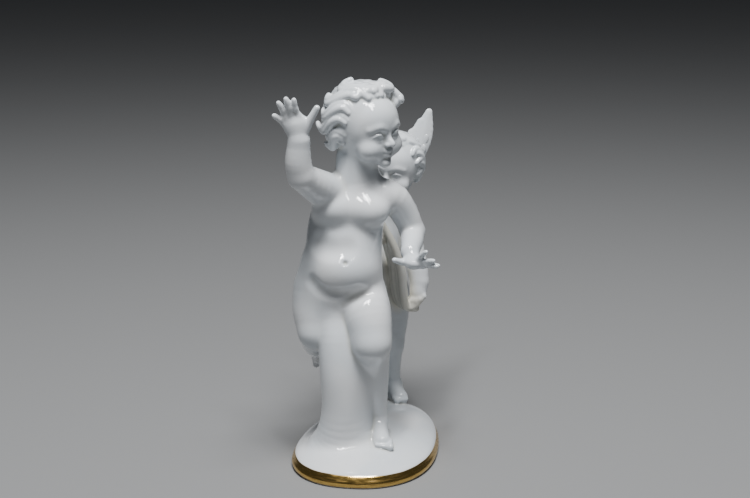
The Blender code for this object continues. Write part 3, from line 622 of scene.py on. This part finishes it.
def clothShare(place):
    # 1 on the cloth, fading to 0 a few millimetres away from its middle line
    knots = np.array(swag["path"])[:, :3] + stands["rear"]
    steps = np.linspace(0, len(knots) - 1, 40)
    line = np.stack([np.interp(steps, range(len(knots)), knots[:, k]) for k in range(3)], 1)
    away = np.min([np.linalg.norm(place - spot, axis=1) for spot in line], axis=0)
    reach, fade = swag["cream"]
    return np.clip((reach - away) / fade, 0, 1)


def mouldRearChild(work):
    work.stand = np.array(stands["rear"])
    kneeLeft = (6.6, 38.0, 33.0, 6.8)
    limb(work, [(5.2, 39.5, 55.0, 10.6), (6.0, 39.0, 45.0, 9.4), kneeLeft], 2.0)
    limb(work, [kneeLeft, (7.0, 39.6, 25.0, 5.4), (8.4, 40.0, 17.0, 3.6), (9.0, 40.0, 15.0, 3.4)], 1.6)
    foot(work, (9.2, 39.6, 14.2), (9.8, 40.4, 10.2), (12.0, 33.4, 10.2), (12.8, 29.8, 10.2),
         3.5, (2.3, 0.5, 0))
    kneeRight = (-6.8, 27.5, 37.0, 6.8)
    limb(work, [(-7.6, 39.0, 56.0, 10.4), (-7.6, 33.0, 46.0, 9.0), kneeRight], 2.0)
    limb(work, [kneeRight, (-7.8, 30.0, 28.0, 5.8), (-8.0, 33.0, 19.0, 4.0), (-8.0, 33.0, 17.0, 3.7)], 1.6)
    foot(work, (-8.0, 33.0, 14.8), (-7.8, 35.0, 11.0), (-9.2, 26.0, 10.6), (-9.8, 22.4, 10.2),
         3.6, (2.3, -0.3, 0))
    trunk(work, [(-1.5, 40.0, 46.0, 8.0, 8.0), (-1.5, 40.0, 52.0, 13.0, 10.5),
                 (-1.2, 39.5, 59.0, 14.6, 11.5), (-1.0, 37.5, 68.0, 12.6, 12.4),
                 (0.0, 38.0, 77.0, 11.6, 11.2), (2.0, 39.5, 86.0, 11.8, 9.6),
                 (4.0, 40.0, 93.0, 10.6, 8.4), (5.4, 40.0, 98.0, 7.0, 6.5),
                 (6.2, 40.0, 100.5, 4.6, 4.6)], 1.6)
    ball(work, (-0.8, 34.6, 66.0), (10.4, 10.0, 8.4), 3.0)
    for spot in ((-7.2, 45.4, 55.5), (4.6, 45.4, 55.0)):
        ball(work, spot, (7.6, 6.6, 7.6), 1.4)
    limb(work, [(6.0, 40.0, 96.0, 6.2), (8.4, 39.0, 106.0, 5.8)], 2.2)
    elbowLeft = (16.7, 35.0, 75.5, 4.6)
    limb(work, [(6.5, 39.5, 92.0, 6.6), (12.8, 38.5, 92.0, 5.4), (15.6, 37.5, 84.0, 5.0), elbowLeft], 2.2)
    limb(work, [elbowLeft, (18.8, 31.5, 68.0, 4.5), (19.6, 29.5, 62.0, 3.9)], 1.4)
    hand(work, (19.6, 29.5, 62.0), ((19.0, 28.0, 57.8), (3.4, 3.6, 3.8), 0),
         [((21.2, 25.6, 56.8), (18.6, 24.4, 53.4)), ((19.6, 24.8, 55.8), (17.0, 24.2, 52.4)),
          ((18.0, 24.8, 55.2), (15.6, 24.6, 51.8)), ((16.4, 25.4, 55.0), (14.2, 25.4, 51.8))],
         [(18.6, 30.2, 57.4), (16.6, 31.0, 55.0), (14.8, 30.0, 53.0)], 3.6)
    elbowRight = (-13.0, 27.0, 79.5, 4.3)
    limb(work, [(0.5, 39.5, 91.0, 6.6), (-7.5, 38.0, 91.5, 5.4), (-12.4, 33.0, 84.0, 4.8), elbowRight], 2.2)
    limb(work, [elbowRight, (-8.6, 22.0, 80.5, 4.0), (-4.0, 19.5, 82.5, 3.4)], 1.4)
    hand(work, (-3.6, 19.4, 82.8), ((0.2, 18.8, 84.2), (3.4, 2.8, 3.4), 0),
         [((2.6, 17.0, 86.6), (4.8, 19.6, 86.8)), ((3.2, 16.8, 85.0), (5.4, 19.6, 84.8)),
          ((3.2, 16.8, 83.4), (5.4, 19.6, 83.0)), ((2.6, 17.0, 81.8), (4.6, 19.6, 81.2))],
         [(-0.6, 20.6, 85.6), (1.8, 22.0, 86.4), (4.0, 21.8, 85.4)], 3.4)
    limb(work, [(4.2, 48.0, 95.0, 0.4), (1.6, 49.2, 84.0, 0.8), (-0.6, 49.0, 72.0, 0.8),
                (-1.4, 52.2, 62.0, 0.8), (-1.4, 52.6, 55.0, 0.7), (-1.4, 50.0, 48.0, 0.5)], 2.6, True)
    head = Head((8.6, 37.6, 110.8), 11.4, -14, 6, 6)
    mouldFace(work, head)
    for wing in wings:
        mouldWing(work, *wing)
    dressHair(work, head, rearHair)
    mouldSwag(work)
    limb(work, [(13.4, 26.5, 53.0, 2.2), (10.0, 33.0, 57.0, 3.2), (6.0, 37.0, 60.0, 4.0)], 0.8)


# Skinning: one vertex in each grid cell that the surface crosses, then pulled onto the surface
cellCorners = [(a, b, c) for a in (0, 1) for b in (0, 1) for c in (0, 1)]


def soften(field, passes):
    for _ in range(passes):
        for axis in range(3):
            line = np.moveaxis(field, axis, 0)
            ends = line[:-2] + line[2:]
            line[1:-1] = line[1:-1] * 0.5 + ends * 0.25


def sample(field, spots):
    # field read between grid points; spots are in grid steps
    last = np.array(field.shape) - 2
    cell = np.clip(np.floor(spots).astype(int), 0, last)
    t = (spots - cell).astype(np.float32)
    i, j, k = cell.T
    total = 0
    for a, b, c in cellCorners:
        wa, wb, wc = (t[:, n] if on else 1 - t[:, n] for n, on in enumerate((a, b, c)))
        total = total + wa * wb * wc * field[i + a, j + b, k + c]
    return total


def slope(field, spots, reach):
    parts = []
    for axis in range(3):
        step = np.zeros(3)
        step[axis] = reach
        parts.append((sample(field, spots + step) - sample(field, spots - step)) / (2 * reach))
    return np.stack(parts, 1)


def pullOnto(field, spots, passes, limit):
    # steps down the slope onto the surface, each held to a limit in grid steps
    for _ in range(passes):
        grad = slope(field, spots, 0.5)
        size = np.maximum((grad ** 2).sum(1), 1e-3)
        spots = spots - np.clip(sample(field, spots) / size, -limit, limit)[:, None] * grad
    return spots


def skinClay(work):
    field = work.field
    inside = field < 0
    count = np.zeros(tuple(n - 1 for n in field.shape), np.uint8)
    for a, b, c in cellCorners:
        count += inside[a:a + count.shape[0], b:b + count.shape[1], c:c + count.shape[2]]
    cells = np.argwhere((count > 0) & (count < 8))
    tag = np.full(count.shape, -1, np.int32)
    tag[tuple(cells.T)] = np.arange(len(cells), dtype=np.int32)
    values = [field[cells[:, 0] + a, cells[:, 1] + b, cells[:, 2] + c] for a, b, c in cellCorners]
    total = np.zeros((len(cells), 3))
    hits = np.zeros(len(cells))
    for p in range(8):
        for q in range(p + 1, 8):
            one, two = np.array(cellCorners[p]), np.array(cellCorners[q])
            if np.abs(one - two).sum() != 1:
                continue
            fa, fb = values[p], values[q]
            cross = (fa < 0) != (fb < 0)
            t = np.where(cross, fa / np.where(cross, fa - fb, 1), 0)
            total += np.where(cross[:, None], one + (two - one) * t[:, None], 0)
            hits += cross
    spots = cells + total / hits[:, None]
    quads = []
    for axis in range(3):
        u, v = (axis + 1) % 3, (axis + 2) % 3
        here = np.moveaxis(inside, axis, 0)
        edges = np.argwhere(here[:-1] != here[1:])
        at = edges[:, np.argsort([axis] + [i for i in range(3) if i != axis])]
        for name in (u, v):
            at = at[(at[:, name] > 0) & (at[:, name] < field.shape[name] - 1)]
        ring = []
        for du, dv in ((-1, -1), (0, -1), (0, 0), (-1, 0)):
            cell = at.copy()
            cell[:, u] += du
            cell[:, v] += dv
            ring.append(tag[tuple(cell.T)])
        ring = np.stack(ring, 1)
        solid = inside[tuple(at.T)]
        quads.append(np.where(solid[:, None], ring, ring[:, ::-1]))
    quads = np.concatenate(quads)
    return pullOnto(field, spots, 3, 0.5), quads


def hollows(field, spots, passes):
    # mean distance round each place: below zero in a hollow, above it on a ridge
    coarse = np.clip(field[::2, ::2, ::2], -6, 6)
    soften(coarse, passes)
    return sample(coarse, spots / 2)


def newObject(name, data):
    thing = bpy.data.objects.new(name, data)
    bpy.context.scene.collection.objects.link(thing)
    return thing


def bakedMesh(thing):
    # what an object's modifiers make of it; the object itself goes
    depsgraph = bpy.context.evaluated_depsgraph_get()
    mesh = bpy.data.meshes.new_from_object(thing.evaluated_get(depsgraph))
    bpy.data.objects.remove(thing, do_unlink=True)
    return mesh


def thinMesh(name, spots, quads, triangles):
    # the heads keep a larger share of the triangles than the smooth bodies
    mesh = bpy.data.meshes.new(name)
    mesh.from_pydata((spots * mm).tolist(), [], quads.tolist())
    mesh.update()
    rough = newObject(name + "Rough", mesh)
    fine = np.zeros(len(spots), bool)
    for middle, reach in clay["heads"]:
        fine |= np.linalg.norm(spots - np.array(middle), axis=1) < reach
    total = 2 * len(quads)
    heads = 2 * int(fine[quads].all(1).sum())
    plainGoal = triangles * (1 - clay["headShare"])
    passes = [("plain", ~fine, (heads + plainGoal) / total),
              ("heads", fine, triangles / (heads + plainGoal))]
    for label, chosen, ratio in passes:
        rough.vertex_groups.new(name=label).add(np.flatnonzero(chosen).tolist(), 1.0, "REPLACE")
        thin = rough.modifiers.new(label, "DECIMATE")
        thin.ratio = min(1.0, ratio)
        thin.vertex_group = label
        thin.vertex_group_factor = 0.0
        thin.use_collapse_triangulate = True
    light = bakedMesh(rough)
    light.name = name
    bpy.data.meshes.remove(mesh)
    return light


def placePiece(name, mesh, material):
    piece = newObject(name, mesh)
    mesh.materials.clear()
    mesh.materials.append(material)
    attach(piece, "root")
    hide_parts("putti_group")


def writeLayer(mesh, label, values):
    layer = mesh.attributes.new(label, "FLOAT", "POINT")
    layer.data.foreach_set("value", np.asarray(values, np.float32))


def levelUnderside(work):
    low = work.axes[2] < clay["footLevel"]
    body = work.field[:, :, low]
    ground = np.broadcast_to(-work.axes[2][low][None, None, :], body.shape)
    work.field[:, :, low] = softMax(ground, body, clay["footSoft"])


def castGroup(material):
    work = Clay(clay["low"], clay["high"], clay["step"])
    mouldMound(work)
    print("mound modelled")
    mouldFrontChild(work)
    print("front child modelled")
    mouldRearChild(work)
    print("rear child modelled")
    soften(work.field, clay["softenPasses"])
    levelUnderside(work)
    spots, quads = skinClay(work)
    print("skinned", len(spots), "points")
    light = thinMesh("puttiPorcelain", work.low + spots * work.step, quads, clay["triangles"])
    place = np.empty(len(light.vertices) * 3)
    light.vertices.foreach_get("co", place)
    spots = pullOnto(work.field, (place.reshape(-1, 3) / mm - work.low) / work.step, 2, 0.4)
    place = work.low + spots * work.step
    place[:, 2] = np.maximum(place[:, 2], 0)
    light.vertices.foreach_set("co", (place * mm).ravel())
    light.update()
    grad = slope(work.field, spots, clay["normalReach"])
    grad /= np.maximum(np.linalg.norm(grad, axis=1, keepdims=True), 1e-6)
    light.polygons.foreach_set("use_smooth", [True] * len(light.polygons))
    light.normals_split_custom_set_from_vertices(grad.tolist())
    # hollow and deep measure the creases and wide hollows that take the painted shade
    writeLayer(light, "hollow", hollows(work.field, spots, 6))
    writeLayer(light, "deep", hollows(work.field, spots, 40))
    writeLayer(light, "cloth", clothShare(place))
    print("porcelain", len(light.polygons), "triangles")
    placePiece("puttiPorcelain", light, material)


class Wiring:
    # node trees in short: set_ names a property, _0 and the like a numbered socket, the rest a named one
    def __init__(self, tree):
        self.tree = tree

    def add(self, kind, **inputs):
        node = self.tree.nodes.new(kind)
        for key, value in inputs.items():
            if key.startswith("set_"):
                setattr(node, key[4:], value)
        for key, value in inputs.items():
            if key.startswith("set_"):
                continue
            label = int(key[1:]) if key[0] == "_" else key.replace("_", " ")
            if isinstance(value, bpy.types.NodeSocket):
                self.tree.links.new(value, node.inputs[label])
            else:
                node.inputs[label].default_value = value
        return node

    def math(self, kind, a, b):
        return self.add("ShaderNodeMath", set_operation=kind, _0=a, _1=b).outputs[0]

    def ramp(self, value, low, high, to=(0.0, 1.0)):
        return self.add("ShaderNodeMapRange", set_interpolation_type="SMOOTHSTEP", Value=value,
                        From_Min=low, From_Max=high, To_Min=to[0], To_Max=to[1]).outputs["Result"]

    def mix(self, share, a, b):
        return self.add("ShaderNodeMix", set_data_type="RGBA", _0=share, _6=a, _7=b).outputs[2]

    def noise(self, vector, scale, detail=3.0):
        return self.add("ShaderNodeTexNoise", Vector=vector, Scale=scale, Detail=detail).outputs["Fac"]


# Wing coverts: rows of small leaf-shaped feathers laid along each wing by Geometry Nodes
coverts = {
    "rows": 3,
    "count": 5,   # feathers in the first row, and one fewer in each further row
    "length": 3.4,
    "longer": 0.15,   # share by which each further row is longer
    "width": 1.15,
    "depth": 0.42,
    "pitch": (0.02, 0.2),   # first row and step between rows, as shares of the wing
    "slant": -0.13,   # how far a row ends nearer the root, as a share of the wing
    "span": (-1.6, 6.6),   # from the leading edge across the wing
    "lift": (1.25, 1.05),   # off the wing's middle at a row's start and end
    "sink": 0.06,   # each further row starts this much nearer the wing
    "lean": 0.1,   # radians inward, and next, towards the wing
    "tilt": 0.05,
    "sizes": (0.9, 1.08),   # feathers vary between these scales
    "seed": 11,
}


def featherTree():
    tree = bpy.data.node_groups.new("featherRow", "GeometryNodeTree")
    sockets = {}
    for kind, labels in (("Geometry", "Geometry"), ("Vector", "Start Gap Turn"), ("Int", "Feathers Seed"),
                         ("Float", "Length Width Depth"), ("Material", "Finish")):
        for label in labels.split():
            socket = tree.interface.new_socket(name=label, in_out="INPUT", socket_type="NodeSocket" + kind)
            sockets[label] = socket.identifier
    tree.interface.new_socket(name="Geometry", in_out="OUTPUT", socket_type="NodeSocketGeometry")
    wire = Wiring(tree)
    given = wire.add("NodeGroupInput").outputs
    line = wire.add("GeometryNodeMeshLine", set_mode="OFFSET", Count=given["Feathers"],
                    Start_Location=given["Start"], Offset=given["Gap"])
    leaf = wire.add("GeometryNodeMeshUVSphere", Segments=14, Rings=10, Radius=1.0)
    shape = wire.add("ShaderNodeCombineXYZ", X=given["Width"], Y=given["Depth"], Z=given["Length"])
    form = wire.add("GeometryNodeTransform", Geometry=leaf.outputs["Mesh"], Scale=shape.outputs["Vector"])
    least, most = coverts["sizes"]
    vary = wire.add("FunctionNodeRandomValue", set_data_type="FLOAT", Min=least, Max=most, Seed=given["Seed"])
    lay = wire.add("GeometryNodeInstanceOnPoints", Points=line.outputs["Mesh"],
                   Instance=form.outputs["Geometry"], Rotation=given["Turn"], Scale=vary.outputs["Value"])
    real = wire.add("GeometryNodeRealizeInstances", Geometry=lay.outputs["Instances"])
    smooth = wire.add("GeometryNodeSetShadeSmooth", Geometry=real.outputs["Geometry"])
    paint = wire.add("GeometryNodeSetMaterial", Geometry=smooth.outputs["Geometry"], Material=given["Finish"])
    wire.add("NodeGroupOutput", Geometry=paint.outputs["Geometry"])
    return tree, sockets


def growRow(tree, sockets, values):
    # one row of feathers as a plain mesh
    holder = newObject("covertRow", bpy.data.meshes.new("covertRow"))
    grow = holder.modifiers.new("grow", "NODES")
    grow.node_group = tree
    for label, value in values.items():
        grow[sockets[label]] = value
    return bakedMesh(holder)


def layCoverts(material):
    tree, sockets = featherTree()
    joined = bmesh.new()
    (first, step), (near, far), (startLift, endLift) = coverts["pitch"], coverts["span"], coverts["lift"]
    for _, elbow, tip, inward in wings:
        axis, side, facing = wingAxes(elbow, tip, inward)
        elbow = Vector(elbow) + Vector(stands["rear"])
        lean = math.atan2(axis.x, axis.z) + inward * coverts["lean"]
        for face in (-1, 1):
            for row in range(coverts["rows"]):
                share = first + step * row
                lift = startLift - coverts["sink"] * row
                start = elbow + axis * share + side * near + facing * face * lift
                end = elbow + axis * (share + coverts["slant"]) + side * (far - row) + facing * face * endLift
                count = coverts["count"] - row
                joined.from_mesh(growRow(tree, sockets, {
                    "Start": start * mm,
                    "Gap": (end - start) * mm / (count - 1),
                    "Feathers": count,
                    "Length": coverts["length"] * mm / 2 * (1 + coverts["longer"] * row),
                    "Width": coverts["width"] * mm,
                    "Depth": coverts["depth"] * mm,
                    "Turn": Vector((coverts["tilt"] * face, lean, 0.0)),
                    "Seed": coverts["seed"] + row,
                    "Finish": material,
                }))
    bmesh.ops.recalc_face_normals(joined, faces=joined.faces)
    mesh = bpy.data.meshes.new("wingCoverts")
    joined.to_mesh(mesh)
    joined.free()
    mesh.polygons.foreach_set("use_smooth", [True] * len(mesh.polygons))
    # flat values that leave the feathers without painted shade in hollows
    writeLayer(mesh, "hollow", [0.1] * len(mesh.vertices))
    writeLayer(mesh, "deep", [0.3] * len(mesh.vertices))
    print("coverts", len(mesh.polygons), "faces")
    placePiece("wingCoverts", mesh, material)


# Glaze and gilding: noise scales are per metre
glaze = {
    "white": (0.61, 0.626, 0.642, 1.0),
    "cool": (0.545, 0.58, 0.61, 1.0),
    # painted shade laid into creases and hollows, partly a pooled-glaze tint
    "pooledGlazeAndShade": (0.42, 0.42, 0.365, 1.0),
    "cream": (0.58, 0.555, 0.465, 1.0),
    "speck": (0.3, 0.27, 0.22, 1.0),
    "biscuit": (0.7, 0.68, 0.63, 1.0),
    "clouds": 38.0,   # scale of the change from white to cool
    "creviceShadeAndPool": (-0.02, -0.4, 0.6),   # narrow hollows: where the painted shade and pooled-glaze tint starts, is full, and its share
    "hollowShadeAndPool": (-0.2, -1.8, 0.7),   # wide hollows, likewise painted shade with a pooled-glaze tint
    "creamShare": 0.75,
    "specks": (420.0, 0.3),   # scale and share
    "foot": (0.5, 0.1, 0.6),   # bare edge in mm from and to, and its roughness
    "gloss": (90.0, 0.045, 0.085),   # scale and range of roughness
    "peel": (260.0, 0.05, 0.4),   # ripple: scale, strength and depth in mm
    "ior": 1.55,
}
gilding = {
    "gold": (0.7, 0.46, 0.13, 1.0),
    "worn": (0.46, 0.29, 0.09, 1.0),
    "top": 4.7,   # upper edge of the band, in mm
    "edge": 0.12,   # softness of that edge
    "waver": (60.0, 0.28),   # scale and size of the edge's unevenness
    "foot": (0.3, 0.6),   # the band starts over these heights
    "wear": (210.0, 9.0),   # scale, and how much finer up than along
    "gloss": (0.14, 0.34),
}


def shaderGroup(name):
    wire = Wiring(bpy.data.node_groups.new(name, "ShaderNodeTree"))
    return wire, wire.add("ShaderNodeTexCoord").outputs["Object"]


def giveOut(wire, outputs):
    # declares a group's outputs, each (label, kind, socket), and links them
    for label, kind, _ in outputs:
        wire.tree.interface.new_socket(name=label, in_out="OUTPUT", socket_type="NodeSocket" + kind)
    wire.add("NodeGroupOutput", **{label: socket for label, _, socket in outputs})
    return wire.tree


def glazeGroup():
    # glaze colour with painted shade in creases and hollows, its roughness and ripple
    wire, where = shaderGroup("glazeTintAndShade")

    def layer(name):
        return wire.add("ShaderNodeAttribute", set_attribute_name=name).outputs["Fac"]

    clouds = wire.ramp(wire.noise(where, glaze["clouds"], 2.0), 0.35, 0.65)
    body = wire.mix(clouds, glaze["white"], glaze["cool"])
    creviceShadeAndPool, hollowShadeAndPool = (wire.ramp(layer(name), start, full, (0.0, share))
                   for name, (start, full, share) in (("hollow", glaze["creviceShadeAndPool"]), ("deep", glaze["hollowShadeAndPool"])))
    # painted shade in creases and wide hollows, partly a pooled-glaze tint
    body = wire.mix(wire.math("MAXIMUM", creviceShadeAndPool, hollowShadeAndPool), body, glaze["pooledGlazeAndShade"])
    body = wire.mix(wire.math("MULTIPLY", layer("cloth"), glaze["creamShare"]), body, glaze["cream"])
    scale, share = glaze["specks"]
    body = wire.mix(wire.ramp(wire.noise(where, scale, 0.0), 0.86, 0.88, (0.0, share)), body, glaze["speck"])
    low, high, bare = glaze["foot"]
    foot = wire.ramp(wire.add("ShaderNodeSeparateXYZ", Vector=where).outputs["Z"], low * mm, high * mm)
    body = wire.mix(foot, body, glaze["biscuit"])
    scale, *gloss = glaze["gloss"]
    rough = wire.ramp(wire.noise(where, scale), 0.3, 0.7, gloss)
    rough = wire.math("MAXIMUM", rough, wire.math("MULTIPLY", foot, bare))
    scale, strength, depth = glaze["peel"]
    ripple = wire.noise(where, scale, 1.0)
    bump = wire.add("ShaderNodeBump", Strength=strength, Distance=depth * mm, Height=ripple)
    return giveOut(wire, [("Color", "Color", body), ("Roughness", "Float", rough),
                          ("Normal", "Vector", bump.outputs["Normal"])])


def gildingGroup():
    wire, where = shaderGroup("gildedRim")
    height = wire.add("ShaderNodeSeparateXYZ", Vector=where).outputs["Z"]
    scale, size = gilding["waver"]
    waver = wire.math("SUBTRACT", wire.noise(where, scale, 2.0), 0.5)
    level = wire.math("ADD", height, wire.math("MULTIPLY", waver, 2 * size * mm))
    top, edge = gilding["top"], gilding["edge"]
    band = wire.ramp(level, (top + edge) * mm, (top - edge) * mm)
    start, full = gilding["foot"]
    mask = wire.math("MULTIPLY", band, wire.ramp(height, start * mm, full * mm))
    scale, finer = gilding["wear"]
    streaks = wire.add("ShaderNodeMapping", Vector=where, Scale=(1.0, 1.0, finer)).outputs["Vector"]
    wear = wire.noise(streaks, scale, 4.0)
    color = wire.mix(wire.ramp(wear, 0.42, 0.72), gilding["gold"], gilding["worn"])
    rough = wire.ramp(wear, 0.3, 0.75, gilding["gloss"])
    return giveOut(wire, [("Color", "Color", color), ("Roughness", "Float", rough), ("Mask", "Float", mask)])


def porcelainMaterial():
    material = bpy.data.materials.new("glazedPorcelain")
    material.use_nodes = True
    wire = Wiring(material.node_tree)
    shader = material.node_tree.nodes["Principled BSDF"]
    tint = wire.add("ShaderNodeGroup", set_node_tree=glazeGroup())
    rim = wire.add("ShaderNodeGroup", set_node_tree=gildingGroup())
    mask = rim.outputs["Mask"]
    links = material.node_tree.links
    links.new(wire.mix(mask, tint.outputs["Color"], rim.outputs["Color"]), shader.inputs["Base Color"])
    rough = wire.add("ShaderNodeMix", set_data_type="FLOAT", _0=mask,
                     _2=tint.outputs["Roughness"], _3=rim.outputs["Roughness"])
    links.new(rough.outputs[0], shader.inputs["Roughness"])
    links.new(mask, shader.inputs["Metallic"])
    links.new(tint.outputs["Normal"], shader.inputs["Normal"])
    shader.inputs["IOR"].default_value = glaze["ior"]
    return material


# Studio: pale floor, a soft box overhead, two strips in front and a little fill from all round
studio = {
    "floor": (0.175, 0.178, 0.181, 1.0),
    "floorHalf": 3.0,
    "floorRoughness": 0.8,
    "sky": (0.8, 0.84, 0.9, 1.0),
    "skyPower": 0.072,
    "aim": (0.0, 0.0, 0.08),
    # lights: name, azimuth and rise in degrees, distance, width and height, power
    "boxes": [
        ("boxAbove", 10, 76, 0.9, (0.4, 0.26), 13.0),
        ("stripLeft", -19, 65, 0.95, (0.07, 0.3), 5.4),
        ("stripRight", 17, 65, 0.95, (0.07, 0.3), 4.1),
    ],
}
view = {
    "place": (0.0029, -0.6171, 0.2252),
    "tilt": 77.0,   # degrees up from straight down
    "lens": 76.608,
    "sensor": 36.0,
}


def setStudio():
    floorMesh = bpy.data.meshes.new("floor")
    half = studio["floorHalf"]
    corners = [(x * half, y * half, 0.0) for x, y in ((-1, -1), (1, -1), (1, 1), (-1, 1))]
    floorMesh.from_pydata(corners, [], [(0, 1, 2, 3)])
    floor = newObject("floor", floorMesh)
    material = bpy.data.materials.new("paleFloor")
    material.use_nodes = True
    shader = material.node_tree.nodes["Principled BSDF"]
    shader.inputs["Base Color"].default_value = studio["floor"]
    shader.inputs["Roughness"].default_value = studio["floorRoughness"]
    floorMesh.materials.append(material)
    world = bpy.data.worlds.new("softRoom")
    world.use_nodes = True
    bpy.context.scene.world = world
    sky = world.node_tree.nodes["Background"]
    sky.inputs["Color"].default_value = studio["sky"]
    sky.inputs["Strength"].default_value = studio["skyPower"]
    for name, azimuth, rise, distance, size, power in studio["boxes"]:
        light = bpy.data.lights.new(name, "AREA")
        light.shape = "RECTANGLE"
        light.size, light.size_y = size
        light.energy = power
        azimuth, rise = math.radians(azimuth), math.radians(rise)
        level = math.cos(rise)
        out = Vector((math.sin(azimuth) * level, -math.cos(azimuth) * level, math.sin(rise)))
        lamp = newObject(name, light)
        lamp.location = Vector(studio["aim"]) + out * distance
        lamp.rotation_euler = out.to_track_quat("Z", "Y").to_euler()


def setCamera():
    lens = bpy.data.cameras.new("view")
    lens.lens = view["lens"]
    lens.sensor_width = view["sensor"]
    lens.clip_start = 0.01
    camera = newObject("view", lens)
    camera.location = view["place"]
    camera.rotation_euler = (math.radians(view["tilt"]), 0.0, 0.0)
    bpy.context.scene.camera = camera


finish = porcelainMaterial()
castGroup(finish)
layCoverts(finish)
setStudio()
setCamera()
print("studio set")
